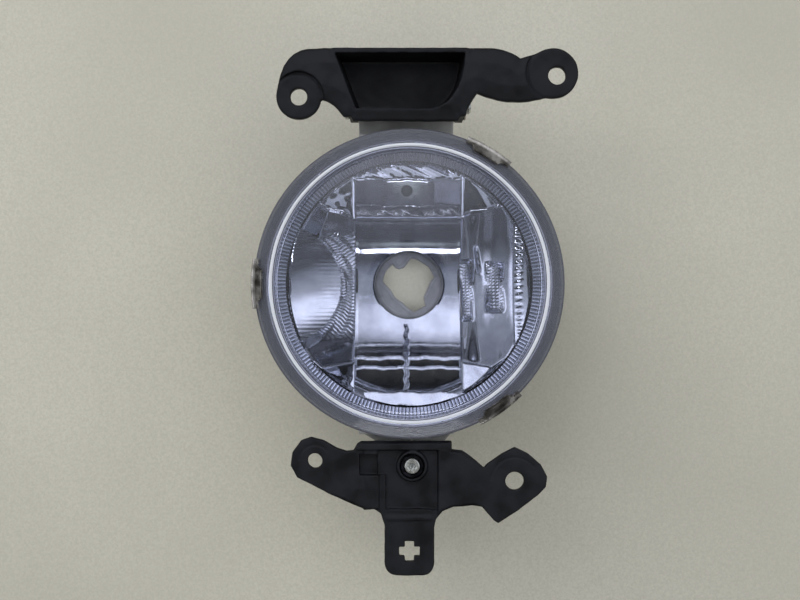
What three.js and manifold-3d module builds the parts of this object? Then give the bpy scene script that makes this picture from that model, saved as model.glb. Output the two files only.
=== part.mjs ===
// Round front fog lamp on two moulded brackets, with a screw that aims it up and down.
// Millimetres. +Z is up and the lens faces -Y, so +X is to the right for someone in front of the lamp.
// The origin is on the optical axis, in the plane where the bracket ears seat against the bumper.
import * as THREE from "three";
import { mergeVertices } from "three/addons/utils/BufferGeometryUtils.js";
import Module from "manifold-3d";

const wasm = await Module();
wasm.setup();

// ---------------------------------------------------------------- driving sizes
const GAP = 0.3; // between pieces that touch when assembled
const RUN = 0.4; // round a pin or screw that turns
const AIR = 0.8; // behind the reflector, inside the housing

const LENS = {
  radius: 51, // outside of the flange
  windowRadius: 45, // clear window, out to its raised bead
  flangeFront: -2, // front face of the flange
  flangeThick: 3,
  step: 3.2, // bead of the window ahead of the flange
  rise: 4.6, // crown of the window ahead of its edge
  wall: 3,
  skirtWall: 2,
  skirtDepth: 4, // behind the flange, into the housing
};
const SEAL_THICK = 1.4;
const RIM_THICK = 4; // rim of the housing, behind the seal
const SEAT_DEPTH = 4.5; // from the face of the rim to the reflector's seat

const REFLECTOR = {
  fluteFrontRadius: 43.4, // fluted ring, at the lens
  fluteBackRadius: 41.4,
  fluteDepth: 9,
  bowlRadius: 38.5,
  focalLength: 14,
  portRadius: 12.2,
  wall: 2,
  flange: 1.6,
  breatherRadius: 2,
  breatherHeight: 32,
};
const HOUSING_WALL = 2.6;
const NECK = { wall: 2.2, boreRadius: 14.4, shoulderRadius: 12.6, length: 12 };
const SOCKET = { thick: 3, holeRadius: 6.4, lobeRadius: 9.7 };
const SOCKET_LOBES = [
  { at: 52, width: 56 },
  { at: 149, width: 42 },
  { at: -66, width: 32 },
];
const VENT = { height: 26, spigotRadius: 3, bore: 1.6, length: 10, rubber: 1.3, bend: 7, tail: 6 };

const CLIP = { steel: 0.8, width: 17, frontHook: 3, backHook: 2.2 };
const CLIPS = { upper_right: 59, left: 180, lower_right: -54 };

const LUG = { x: -1, width: 32, thick: 4 };
const PIVOT = { y: 22, above: 10, barrelRadius: 6.2, pinRadius: 2.5, bushWall: 1.1, bushLength: 9, head: 1.6 };
const CHEEK = { thick: 2.8, radius: 5.6 };

const SCREW = { x: 0.9, below: 9, radius: 2.5, collarRadius: 4.2, collar: 1.2, length: 37, socket: 1.3 };
const WASHER = { radius: 4.4, thick: 0.8 };
const PUSH_NUT = { radius: 3.9, thick: 0.8 };
const NUT = { neckRadius: 4.4, flangeRadius: 7, flange: 2.2, play: 0.55 };
const NUT_LUG = { thick: 3.5, below: 8, halfWidth: 10, slotPlay: 0.5 };

const PLATE = 3.2; // wall of both brackets
const UPPER = {
  gap: 2.6, // above the lens flange
  height: 23.4,
  footLeft: -18.6,
  footRight: 16,
  leftEar: { x: -36.5, up: 8, radius: 7.4, hole: 2.8, lobeX: 0, lobeUp: 0 },
  rightEar: { x: 48.7, up: 15, radius: 8.3, hole: 2.9, lobeX: -1.3, lobeUp: 0.8 },
};
const POCKET = { left: -24.5, right: 18.3, floorLeft: -17.6, floorRight: 7, floor: 3.9, top: 1.6, wall: 2.2, depth: 12 };
const LOWER = {
  gap: 1.5, // below the lens flange
  shoulder: 2.2,
  halfTop: 13.6,
  waist: 21.2,
  leftEar: { x: -31.1, down: 5.8, radius: 7.9, hole: 2.4 },
  rightEar: { x: 34.7, down: 12.5, radius: 10.9, hole: 3 },
  tongue: { halfWidth: 8.2, down: 35.7, end: 8, corner: 4.6 },
  cross: { long: 6.7, arm: 3 },
  slot: { x: -13.5, down: 7, width: 5.8, height: 6.8, depth: 2.2 },
  bossRadius: 5.2,
  bossDepth: 8,
  lip: 8, // depth of the flange along its upper edge
};

const ROUND = 40; // sides of the large round pieces
const SMALL = 20; // sides of pins, screws and holes
const CURVE_STEPS = 5; // along the bowl and the lens

// ---------------------------------------------------------------- places worked out from the sizes
const flangeBack = LENS.flangeFront + LENS.flangeThick;
const sealFront = flangeBack + GAP;
const rimFront = sealFront + SEAL_THICK + GAP;
const rimBack = rimFront + RIM_THICK;
const skirtRadius = LENS.windowRadius + 1.4;
const skirtBack = flangeBack + LENS.skirtDepth;
const boreRadius = skirtRadius + 2 * GAP;
const seat = rimFront + SEAT_DEPTH;
const reflectorBack = seat - GAP;
const reflectorFront = Math.max(reflectorBack - REFLECTOR.flange, skirtBack + GAP);
const fluteBack = reflectorFront + REFLECTOR.fluteDepth;
const ledge = fluteBack + 1;
const vertex = ledge + REFLECTOR.bowlRadius ** 2 / (4 * REFLECTOR.focalLength);
const housingInside = REFLECTOR.wall + AIR;
const housingOutside = housingInside + HOUSING_WALL;
const neckRadius = NECK.boreRadius + NECK.wall;
const shoulder = vertex + 4;
const neckBack = shoulder + NECK.length;
const ventSkin = skinAt(VENT.height);
const wallRadius = REFLECTOR.fluteFrontRadius + REFLECTOR.wall + GAP + HOUSING_WALL;

// Depth of the housing's back surface at a distance from the axis.
function skinAt(radius) {
  return vertex + housingOutside - radius ** 2 / (4 * REFLECTOR.focalLength);
}

const pivotZ = LENS.radius + PIVOT.above;
const screwZ = -(LENS.radius + SCREW.below);
const pivotX = LUG.x;
const halfLug = LUG.width / 2;
const upperFoot = LENS.radius + UPPER.gap;
const upperTop = upperFoot + UPPER.height;
const pocketBack = POCKET.depth + POCKET.wall;
const lowerTop = -(LENS.radius + LOWER.gap);
const screwTail = SCREW.length;
const bossFront = -1;
const bossBack = bossFront + LOWER.bossDepth + 1;
const washerFront = bossBack + GAP;
const collarFront = washerFront + WASHER.thick + GAP;

// ---------------------------------------------------------------- solids
function solid(geometry) {
  const bare = geometry.clone();
  bare.deleteAttribute("normal");
  bare.deleteAttribute("uv");
  const merged = mergeVertices(bare, 1e-3);
  const corners = merged.index.array;
  const kept = [];
  for (let i = 0; i < corners.length; i += 3) {
    const [a, b, c] = corners.slice(i, i + 3);
    if (a !== b && b !== c && c !== a) kept.push(a, b, c);
  }
  const vertProperties = merged.attributes.position.array;
  return new wasm.Manifold(new wasm.Mesh({ numProp: 3, vertProperties, triVerts: new Uint32Array(kept) }));
}

function join(...solids) {
  return solids.reduce((whole, next) => whole.add(next));
}

function cut(whole, ...tools) {
  return tools.reduce((left, tool) => left.subtract(tool), whole);
}

// A piece turned about the optical axis, from its [radius, y] corners.
function turned(corners, sides = ROUND) {
  const loop = corners.map(([radius, y]) => new THREE.Vector2(radius, y));
  if (THREE.ShapeUtils.area(loop) < 0) loop.reverse();
  loop.push(loop[0].clone());
  return solid(new THREE.LatheGeometry(loop, sides));
}

// A disc or rod along Y, between two depths.
function rodY(radius, front, back, x = 0, z = 0, sides = SMALL) {
  const rod = new THREE.CylinderGeometry(radius, radius, back - front, sides);
  return solid(rod.translate(x, (front + back) / 2, z));
}

// A rod along X, between two stations.
function rodX(radius, left, right, y, z, sides = SMALL) {
  const rod = new THREE.CylinderGeometry(radius, radius, right - left, sides).rotateZ(-Math.PI / 2);
  return solid(rod.translate((left + right) / 2, y, z));
}

function block([x0, x1], [y0, y1], [z0, z1]) {
  const box = new THREE.BoxGeometry(x1 - x0, y1 - y0, z1 - z0);
  return solid(box.translate((x0 + x1) / 2, (y0 + y1) / 2, (z0 + z1) / 2));
}

// A plate whose outline is drawn as seen from the front, in X and Z.
function plate(outline, front, back, curveSegments = 6) {
  const flat = new THREE.ExtrudeGeometry(outline, { depth: back - front, bevelEnabled: false, curveSegments });
  return solid(flat.rotateX(Math.PI / 2).translate(0, back, 0));
}

function outlineOf(corners) {
  return new THREE.Shape(corners.map(([x, z]) => new THREE.Vector2(x, z)));
}

// Corners along the reflector's paraboloid, moved back by offset, from one radius to another.
function bowl(offset, from, to) {
  return Array.from({ length: CURVE_STEPS + 1 }, (_, i) => {
    const radius = from + ((to - from) * i) / CURVE_STEPS;
    return [radius, vertex + offset - radius ** 2 / (4 * REFLECTOR.focalLength)];
  });
}

// Corners along a shallow crown that falls away from the axis.
function crown(top, rise, radius, from, to) {
  return Array.from({ length: CURVE_STEPS + 1 }, (_, i) => {
    const r = from + ((to - from) * i) / CURVE_STEPS;
    return [r, top + rise * (r / radius) ** 2];
  });
}

// ---------------------------------------------------------------- the lamp
function lens() {
  const windowFront = LENS.flangeFront - LENS.step;
  const top = windowFront - LENS.rise;
  const inner = skirtRadius - LENS.skirtWall;
  return turned([
    ...crown(top, LENS.rise, LENS.windowRadius, 0, LENS.windowRadius - 0.8),
    [LENS.windowRadius - 0.4, windowFront - 0.9],
    [LENS.windowRadius + 0.6, windowFront - 0.5],
    [LENS.windowRadius + 1.2, LENS.flangeFront],
    [LENS.radius, LENS.flangeFront],
    [LENS.radius, flangeBack],
    [skirtRadius, flangeBack],
    [skirtRadius, skirtBack],
    [inner, skirtBack],
    ...crown(top + LENS.wall, LENS.rise, LENS.windowRadius, inner, 0),
  ]);
}

function lensSeal() {
  const [inner, outer] = [boreRadius + GAP, LENS.radius - 0.5];
  return turned([
    [inner, sealFront],
    [outer, sealFront],
    [outer, sealFront + SEAL_THICK],
    [inner, sealFront + SEAL_THICK],
  ]);
}

function reflector() {
  const { fluteFrontRadius, fluteBackRadius, bowlRadius, portRadius, wall } = REFLECTOR;
  const dish = turned([
    [boreRadius - GAP, reflectorFront],
    [fluteFrontRadius, reflectorFront],
    [fluteBackRadius, fluteBack],
    ...bowl(0, bowlRadius, portRadius),
    ...bowl(wall, portRadius, bowlRadius),
    [fluteBackRadius + wall - 0.6, ledge + wall],
    [fluteBackRadius + wall, fluteBack],
    [fluteFrontRadius + wall, reflectorBack],
    [boreRadius - GAP, reflectorBack],
  ]);
  const breather = rodY(REFLECTOR.breatherRadius, ledge, vertex, 0, REFLECTOR.breatherHeight);
  return cut(dish, breather);
}

function housingShell() {
  const { fluteFrontRadius, fluteBackRadius, bowlRadius, wall } = REFLECTOR;
  const outside = turned([
    [0, rimFront],
    [LENS.radius, rimFront],
    [LENS.radius, rimBack],
    [wallRadius, rimBack],
    [fluteBackRadius + wall + GAP + HOUSING_WALL, fluteBack],
    [fluteBackRadius + wall + HOUSING_WALL, ledge + housingOutside],
    ...bowl(housingOutside, bowlRadius, neckRadius),
    [neckRadius, neckBack],
    [0, neckBack],
  ]);
  const inside = turned([
    [0, rimFront - 1],
    [boreRadius, rimFront - 1],
    [boreRadius, seat],
    [fluteFrontRadius + wall + GAP, seat],
    [fluteBackRadius + wall + GAP, fluteBack],
    [fluteBackRadius + wall, ledge + housingInside],
    ...bowl(housingInside, bowlRadius, NECK.shoulderRadius),
    [NECK.shoulderRadius, shoulder],
    [NECK.boreRadius, shoulder],
    [NECK.boreRadius, neckBack + 1],
    [0, neckBack + 1],
  ]);
  return { outside, inside };
}

// The lug that hangs the lamp from its pivot: a plate, two gussets and the barrel round the pin.
function upperLug() {
  const [left, right] = [pivotX - halfLug, pivotX + halfLug];
  const root = LENS.radius - 14;
  const web = block([left, right], [PIVOT.y - PIVOT.barrelRadius, PIVOT.y - PIVOT.barrelRadius + LUG.thick], [root, pivotZ]);
  const gussets = [left, right - LUG.thick].map((x) =>
    block([x, x + LUG.thick], [rimFront + 1, PIVOT.y], [root, LENS.radius - 1]),
  );
  const barrel = rodX(PIVOT.barrelRadius, left, right, PIVOT.y, pivotZ, 24);
  return join(web, ...gussets, barrel);
}

// The lug that the adjuster nut moves, with its slot open downwards.
function lowerLug() {
  const [front, back] = [PIVOT.y - NUT_LUG.thick / 2, PIVOT.y + NUT_LUG.thick / 2];
  const root = -(LENS.radius - 14);
  const shoulderZ = screwZ + NUT.flangeRadius;
  const foot = screwZ - NUT_LUG.below;
  const web = plate(
    outlineOf([
      [LUG.x - halfLug, root],
      [LUG.x + halfLug, root],
      [LUG.x + halfLug, shoulderZ + 3],
      [SCREW.x + NUT_LUG.halfWidth, shoulderZ - 2],
      [SCREW.x + NUT_LUG.halfWidth, foot],
      [SCREW.x - NUT_LUG.halfWidth, foot],
      [SCREW.x - NUT_LUG.halfWidth, shoulderZ - 2],
      [LUG.x - halfLug, shoulderZ + 3],
    ]),
    front,
    back,
  );
  const gussets = [LUG.x - halfLug, LUG.x + halfLug - LUG.thick].map((x) =>
    block([x, x + LUG.thick], [rimFront + 1, back], [-(LENS.radius - 1), root]),
  );
  const halfSlot = NUT.neckRadius + NUT_LUG.slotPlay;
  const slot = join(
    rodY(halfSlot, front - 1, back + 1, SCREW.x, screwZ, 24),
    block([SCREW.x - halfSlot, SCREW.x + halfSlot], [front - 1, back + 1], [foot - 1, screwZ]),
  );
  return cut(join(web, ...gussets), slot);
}

function housing() {
  const { outside, inside } = housingShell();
  const spigot = rodY(VENT.spigotRadius, ventSkin - 4, ventSkin + VENT.length, 0, VENT.height);
  const body = join(outside, upperLug(), lowerLug(), spigot);
  const bore = rodY(VENT.bore, ledge, ventSkin + VENT.length + 1, 0, VENT.height, 12);
  const barrelBore = PIVOT.pinRadius + RUN + PIVOT.bushWall + GAP;
  const pinHole = rodX(barrelBore, pivotX - halfLug - 1, pivotX + halfLug + 1, PIVOT.y, pivotZ);
  return cut(body, inside, bore, pinHole);
}

// Keyed ring that the bulb's three lugs pass before they turn and lock.
function socketRing() {
  const front = shoulder + GAP;
  const disc = rodY(NECK.boreRadius - GAP, front, front + SOCKET.thick, 0, 0, ROUND);
  const lobes = SOCKET_LOBES.map(({ at, width }) => {
    const sector = new THREE.Shape().moveTo(0, 0);
    const [from, to] = [at - width / 2, at + width / 2].map(THREE.MathUtils.degToRad);
    sector.absarc(0, 0, SOCKET.lobeRadius, from, to, false);
    return plate(sector, front - 1, front + SOCKET.thick + 1);
  });
  const hole = rodY(SOCKET.holeRadius, front - 1, front + SOCKET.thick + 1, 0, 0, 24);
  return cut(disc, hole, ...lobes);
}

// Rubber elbow pushed over the housing's spigot, with its mouth turned down.
function ventPath() {
  const start = skinAt(VENT.height - VENT.spigotRadius - GAP - VENT.rubber) + GAP;
  const turn = ventSkin + VENT.length + 1;
  const path = new THREE.CurvePath();
  const [z, b] = [VENT.height, VENT.bend];
  path.add(new THREE.LineCurve3(new THREE.Vector3(0, start, z), new THREE.Vector3(0, turn, z)));
  path.add(
    new THREE.QuadraticBezierCurve3(
      new THREE.Vector3(0, turn, z),
      new THREE.Vector3(0, turn + b, z),
      new THREE.Vector3(b * 0.7, turn + b, z + b * 0.7),
    ),
  );
  const end = path.curves[1].v2;
  const along = new THREE.Vector3(0.7, 0, 0.7).normalize().multiplyScalar(VENT.tail);
  path.add(new THREE.LineCurve3(end, end.clone().add(along)));
  return path;
}

function tubeAlong(path, radius, sides, steps) {
  const ring = new THREE.Shape(
    Array.from({ length: sides }, (_, i) => {
      const angle = (2 * Math.PI * i) / sides;
      return new THREE.Vector2(radius * Math.cos(angle), radius * Math.sin(angle));
    }),
  );
  return solid(new THREE.ExtrudeGeometry(ring, { extrudePath: path, steps, bevelEnabled: false }));
}

function ventElbow() {
  const bore = VENT.spigotRadius + GAP;
  const outer = tubeAlong(ventPath(), bore + VENT.rubber, 16, 14);
  const longer = ventPath();
  const [first, , last] = longer.curves;
  first.v1.y -= 1;
  last.v2.add(new THREE.Vector3(1, 0, 1));
  return cut(outer, tubeAlong(longer, bore, 16, 15));
}

// Foam plug that keeps dust and spray out of the elbow's mouth.
function ventFilter() {
  const last = ventPath().curves[2];
  const along = last.v2.clone().sub(last.v1).normalize();
  const length = 3;
  const plug = new THREE.CylinderGeometry(VENT.spigotRadius, VENT.spigotRadius, length, 16);
  plug.applyQuaternion(new THREE.Quaternion().setFromUnitVectors(new THREE.Vector3(0, 1, 0), along));
  const middle = last.v2.clone().addScaledVector(along, -0.3 - length / 2);
  return solid(plug.translate(middle.x, middle.y, middle.z));
}

// Sprung steel clip that grips the lens flange, the seal and the housing rim together.
function lensClip(angle) {
  const inner = LENS.radius + GAP;
  const outer = inner + CLIP.steel;
  const front = LENS.flangeFront - GAP;
  const back = rimBack + GAP;
  const ring = turned([
    [inner - CLIP.frontHook, front - CLIP.steel],
    [outer, front - CLIP.steel],
    [outer, back + CLIP.steel],
    [inner - CLIP.backHook, back + CLIP.steel],
    [inner - CLIP.backHook, back],
    [inner, back],
    [inner, front],
    [inner - CLIP.frontHook, front],
  ]);
  const window = new THREE.BoxGeometry(30, 40, CLIP.width);
  window.translate(LENS.radius, 0, 0).rotateY(-THREE.MathUtils.degToRad(angle));
  return ring.intersect(solid(window));
}

function pivotBush(side) {
  const inner = PIVOT.pinRadius + RUN;
  const outer = inner + PIVOT.bushWall;
  const face = pivotX + side * (halfLug - GAP);
  const [left, right] = [face, face - side * PIVOT.bushLength].sort((a, b) => a - b);
  const sleeve = rodX(outer, left, right, PIVOT.y, pivotZ);
  return cut(sleeve, rodX(inner, left - 1, right + 1, PIVOT.y, pivotZ));
}

// ---------------------------------------------------------------- the brackets
function pivotPin() {
  const outside = pivotX - halfLug - RUN - CHEEK.thick - GAP;
  const tail = pivotX + halfLug + RUN + CHEEK.thick + 3;
  const shank = rodX(PIVOT.pinRadius, outside - 0.5, tail, PIVOT.y, pivotZ);
  return join(shank, rodX(PIVOT.pinRadius + 1.8, outside - PIVOT.head, outside, PIVOT.y, pivotZ));
}

function pivotPinClip() {
  const left = pivotX + halfLug + RUN + CHEEK.thick + GAP;
  const washer = rodX(PIVOT.pinRadius + 2.2, left, left + 0.9, PIVOT.y, pivotZ);
  return cut(washer, rodX(PIVOT.pinRadius + GAP, left - 1, left + 2, PIVOT.y, pivotZ));
}

function upperOutline() {
  const { leftEar: l, rightEar: r } = UPPER;
  const [lz, rz] = [upperFoot + l.up, upperFoot + r.up];
  return new THREE.Shape()
    .moveTo(l.x - l.radius, lz)
    .quadraticCurveTo(l.x - l.radius + 1.5, upperTop, l.x + 3, upperTop)
    .lineTo(POCKET.right + 7, upperTop)
    .quadraticCurveTo(POCKET.right + 14, upperTop, r.x - r.radius - 3.5, upperTop - 2.6)
    .lineTo(r.x + r.lobeX, rz + r.lobeUp + r.radius - 0.4)
    .lineTo(r.x + r.lobeX, rz - r.radius + 0.8)
    .quadraticCurveTo(POCKET.right + 15, upperFoot + 4, POCKET.right + 4, upperFoot + 9.2)
    .lineTo(UPPER.footRight + 2.6, upperFoot + 2)
    .lineTo(UPPER.footRight, upperFoot)
    .lineTo(UPPER.footLeft, upperFoot)
    .lineTo(UPPER.footLeft - 2.6, upperFoot + 1.3)
    .quadraticCurveTo(UPPER.footLeft - 7, upperFoot + 7, l.x + l.radius, lz - 1)
    .lineTo(l.x, lz - 1);
}

function pocketOutline(grow) {
  const floor = upperFoot + POCKET.floor - grow;
  const top = upperTop - POCKET.top + grow;
  return new THREE.Shape()
    .moveTo(POCKET.left - grow, top)
    .lineTo(POCKET.floorLeft - grow, floor)
    .lineTo(POCKET.floorRight + grow, floor)
    .quadraticCurveTo(POCKET.right + grow, floor + 2, POCKET.right + grow, top);
}

// Two cheeks behind the pocket, with the pin through them.
function pivotCheeks() {
  const inner = halfLug + RUN;
  const lefts = [pivotX - inner - CHEEK.thick, pivotX + inner];
  return lefts.map((x) => {
    const arm = block([x, x + CHEEK.thick], [0.5, PIVOT.y], [pivotZ - CHEEK.radius, pivotZ + CHEEK.radius]);
    return join(arm, rodX(CHEEK.radius, x, x + CHEEK.thick, PIVOT.y, pivotZ));
  });
}

function upperBracket() {
  const { leftEar, rightEar } = UPPER;
  const ears = [leftEar, rightEar].map((ear) =>
    rodY(ear.radius, 0, PLATE, ear.x + ear.lobeX, upperFoot + ear.up + ear.lobeUp, 28),
  );
  const holes = [leftEar, rightEar].map((ear) => rodY(ear.hole, -1, PLATE + 1, ear.x, upperFoot + ear.up));
  const shelf = block([UPPER.footLeft, UPPER.footRight], [0, pocketBack], [upperFoot, upperFoot + 2]);
  const body = join(
    plate(upperOutline(), 0, PLATE),
    plate(pocketOutline(Math.min(POCKET.wall, POCKET.top)), 0, pocketBack),
    shelf,
    ...ears,
    ...pivotCheeks(),
  );
  const pinHole = rodX(PIVOT.pinRadius + GAP, pivotX - halfLug - 9, pivotX + halfLug + 9, PIVOT.y, pivotZ);
  return cut(body, plate(pocketOutline(0), -1, POCKET.depth), pinHole, ...holes);
}

function lowerOutline() {
  const { leftEar: l, rightEar: r, tongue: t } = LOWER;
  const [lz, rz] = [lowerTop - l.down, lowerTop - r.down];
  const waist = lowerTop - LOWER.waist;
  const tip = lowerTop - t.down - t.end;
  return new THREE.Shape()
    .moveTo(-LOWER.halfTop, lowerTop)
    .lineTo(-LOWER.halfTop, lowerTop - LOWER.shoulder)
    .quadraticCurveTo(l.x + l.radius, lowerTop - 4, l.x, lz + l.radius)
    .lineTo(l.x - 5, lz - 6)
    .lineTo(-t.halfWidth - 8, waist)
    .quadraticCurveTo(-t.halfWidth, waist, -t.halfWidth, waist - 5)
    .lineTo(-t.halfWidth, tip + t.corner)
    .absarc(t.corner - t.halfWidth, tip + t.corner, t.corner, Math.PI, 1.5 * Math.PI, false)
    .absarc(t.halfWidth - t.corner, tip + t.corner, t.corner, -0.5 * Math.PI, 0, false)
    .lineTo(t.halfWidth, waist - 5)
    .quadraticCurveTo(t.halfWidth, waist, t.halfWidth + 6, waist)
    .lineTo(r.x - r.radius, waist)
    .lineTo(r.x - r.radius / 2, rz - r.radius - 3)
    .lineTo(r.x + r.radius * 0.66, rz - r.radius * 0.62)
    .lineTo(r.x, rz)
    .lineTo(r.x - 3, rz + r.radius - 0.5)
    .lineTo(r.x - r.radius + 1, lowerTop - 7.5)
    .quadraticCurveTo(LOWER.halfTop + 6, lowerTop - LOWER.shoulder, LOWER.halfTop, lowerTop - LOWER.shoulder)
    .lineTo(LOWER.halfTop, lowerTop);
}

function crossHole() {
  const z = lowerTop - LOWER.tongue.down;
  const [long, arm] = [LOWER.cross.long / 2, LOWER.cross.arm / 2];
  return join(
    block([-long, long], [-1, PLATE + 1], [z - arm, z + arm]),
    block([-arm, arm], [-1, PLATE + 1], [z - long, z + long]),
  );
}

function lowerBracket() {
  const { leftEar, rightEar, slot } = LOWER;
  const ears = [leftEar, rightEar].map((ear) => rodY(ear.radius, 0, PLATE, ear.x, lowerTop - ear.down, 28));
  const holes = [leftEar, rightEar].map((ear) => rodY(ear.hole, -1, PLATE + 1, ear.x, lowerTop - ear.down));
  const lip = block([-LOWER.halfTop, LOWER.halfTop], [0, LOWER.lip], [lowerTop - LOWER.shoulder, lowerTop]);
  const boss = rodY(LOWER.bossRadius, bossFront, bossBack, SCREW.x, screwZ, 24);
  const slotTop = lowerTop - slot.down + slot.height / 2;
  const recess = block(
    [slot.x - slot.width / 2, Math.min(slot.x + slot.width / 2, SCREW.x - LOWER.bossRadius - GAP)],
    [-1, slot.depth],
    [slotTop - slot.height, slotTop],
  );
  const body = join(plate(lowerOutline(), 0, PLATE), lip, boss, ...ears);
  const screwHole = rodY(SCREW.radius + RUN, bossFront - 1, bossBack + 1, SCREW.x, screwZ);
  const nutRecess = rodY(PUSH_NUT.radius + GAP, bossFront - 1, bossFront + PUSH_NUT.thick + 0.7, SCREW.x, screwZ);
  return cut(body, screwHole, nutRecess, recess, crossHole(), ...holes);
}

// ---------------------------------------------------------------- the aiming screw and its nut
function aimingScrew() {
  const front = bossFront - 0.6;
  const shank = rodY(SCREW.radius, front, screwTail, SCREW.x, screwZ);
  const collar = rodY(SCREW.collarRadius, collarFront, collarFront + SCREW.collar, SCREW.x, screwZ);
  const socket = rodY(SCREW.socket, front - 1, front + 2.5, SCREW.x, screwZ, 6);
  return cut(join(shank, collar), socket);
}

function ringY(outer, inner, front, back) {
  const bore = rodY(inner, front - 1, back + 1, SCREW.x, screwZ);
  return cut(rodY(outer, front, back, SCREW.x, screwZ, 24), bore);
}

function adjusterNut() {
  const halfNeck = NUT_LUG.thick / 2 + NUT.play;
  const end = halfNeck + NUT.flange;
  const neck = rodY(NUT.neckRadius, PIVOT.y - end, PIVOT.y + end, SCREW.x, screwZ, 24);
  const flanges = [-end, halfNeck].map((from) =>
    rodY(NUT.flangeRadius, PIVOT.y + from, PIVOT.y + from + NUT.flange, SCREW.x, screwZ, 24),
  );
  return cut(join(neck, ...flanges), rodY(SCREW.radius + RUN, 0, screwTail, SCREW.x, screwZ));
}

// ---------------------------------------------------------------- finishes and the assembly
const finish = (color, roughness, metalness) => new THREE.MeshStandardMaterial({ color, roughness, metalness });
const glass = finish(0xc9cedb, 0.05, 0);
glass.transparent = true;
glass.opacity = 0.35;
const rubber = finish(0x17181a, 0.85, 0);
const mirror = finish(0xc8ccd8, 0.06, 1);
const greyPlastic = finish(0x4a4d52, 0.5, 0);
const blackPlastic = finish(0x141518, 0.55, 0);
const springSteel = finish(0xb9b6a8, 0.3, 1);
const zincSteel = finish(0xc6c8c4, 0.35, 1);
const nylon = finish(0xd9d7cc, 0.5, 0);
const foam = finish(0x2c2d30, 1, 0);

function piece(name, shape, material) {
  const { numProp, numVert, vertProperties, triVerts } = shape.getMesh();
  const points = new Float32Array(numVert * 3);
  for (let i = 0; i < numVert; i++) points.set(vertProperties.subarray(i * numProp, i * numProp + 3), i * 3);
  const geometry = new THREE.BufferGeometry();
  geometry.setAttribute("position", new THREE.BufferAttribute(points, 3));
  geometry.setIndex(new THREE.BufferAttribute(new Uint32Array(triVerts), 1));
  geometry.computeVertexNormals();
  const mesh = new THREE.Mesh(geometry, material);
  mesh.name = name;
  return mesh;
}

function lampUnit() {
  const unit = new THREE.Group();
  unit.add(
    piece("housing", housing(), greyPlastic),
    piece("reflector", reflector(), mirror),
    piece("bulb_socket_ring", socketRing(), greyPlastic),
    piece("lens_seal", lensSeal(), rubber),
    piece("lens", lens(), glass),
    piece("vent_elbow", ventElbow(), rubber),
    piece("vent_filter", ventFilter(), foam),
    piece("pivot_bush_left", pivotBush(-1), nylon),
    piece("pivot_bush_right", pivotBush(1), nylon),
  );
  for (const [place, angle] of Object.entries(CLIPS)) {
    unit.add(piece("lens_clip_" + place, lensClip(angle), springSteel));
  }
  return unit;
}

function mounting() {
  const pushNutFront = bossFront + 0.1;
  const shankRoom = SCREW.radius + GAP;
  const group = new THREE.Group();
  group.add(
    piece("upper_bracket", upperBracket(), blackPlastic),
    piece("lower_bracket", lowerBracket(), blackPlastic),
    piece("pivot_pin", pivotPin(), zincSteel),
    piece("pivot_pin_clip", pivotPinClip(), springSteel),
    piece("aiming_screw", aimingScrew(), zincSteel),
    piece("screw_push_nut", ringY(PUSH_NUT.radius, shankRoom, pushNutFront, pushNutFront + PUSH_NUT.thick), springSteel),
    piece("screw_washer", ringY(WASHER.radius, shankRoom, washerFront, washerFront + WASHER.thick), nylon),
    piece("adjuster_nut", adjusterNut(), nylon),
  );
  return group;
}

const fogLamp = new THREE.Group();
fogLamp.add(lampUnit(), mounting());
export default fogLamp;
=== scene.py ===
# %% [markdown]
# # A fog lamp on two moulded brackets
# The lamp is a clear plastic lens over a mirror-coated reflector, sealed into a housing. An upper bracket
# carries it on a pivot pin and a long screw in the lower bracket aims it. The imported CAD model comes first,
# because every finer piece has to ride on one of its bodies and stay inside its box.

# %% Load the fixed frame
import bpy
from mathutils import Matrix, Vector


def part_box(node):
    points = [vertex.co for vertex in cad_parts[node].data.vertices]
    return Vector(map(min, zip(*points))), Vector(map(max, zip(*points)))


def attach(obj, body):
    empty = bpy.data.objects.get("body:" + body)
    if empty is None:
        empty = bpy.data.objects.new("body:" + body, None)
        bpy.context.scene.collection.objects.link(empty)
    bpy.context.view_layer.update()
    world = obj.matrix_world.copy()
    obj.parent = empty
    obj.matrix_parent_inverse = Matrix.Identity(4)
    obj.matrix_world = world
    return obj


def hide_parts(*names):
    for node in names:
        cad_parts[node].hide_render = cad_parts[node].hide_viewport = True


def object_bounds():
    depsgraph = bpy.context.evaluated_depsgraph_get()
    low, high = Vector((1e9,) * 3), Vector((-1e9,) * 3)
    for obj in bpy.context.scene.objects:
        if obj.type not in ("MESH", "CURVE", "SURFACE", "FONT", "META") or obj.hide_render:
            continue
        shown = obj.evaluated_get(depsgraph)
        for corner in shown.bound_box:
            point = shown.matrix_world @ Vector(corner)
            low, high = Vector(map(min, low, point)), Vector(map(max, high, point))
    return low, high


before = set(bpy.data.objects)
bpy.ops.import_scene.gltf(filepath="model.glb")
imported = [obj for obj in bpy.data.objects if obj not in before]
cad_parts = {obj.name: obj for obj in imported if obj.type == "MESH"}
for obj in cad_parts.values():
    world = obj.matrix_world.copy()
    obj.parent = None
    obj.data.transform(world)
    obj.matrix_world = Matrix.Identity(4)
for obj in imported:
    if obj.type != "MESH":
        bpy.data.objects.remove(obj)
cad_box = [[float(v) for v in corner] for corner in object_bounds()]

import math

import bmesh
import bpy
import numpy as np
import openvdb
from mathutils import Matrix, Vector

print("CAD box, m:", cad_box)

# %% [markdown]
# Lengths are worked out in millimetres, as on a drawing, and turned to metres once, when a mesh is made. Where
# the box of a CAD node gives a place, it is read from there. The outlines and profiles in between are written
# as numbers in the same frame.

# %% Sizes from the frame
MM = 0.001


def box_mm(node):
    low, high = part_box(node)
    return np.array(low) / MM, np.array(high) / MM


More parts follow.
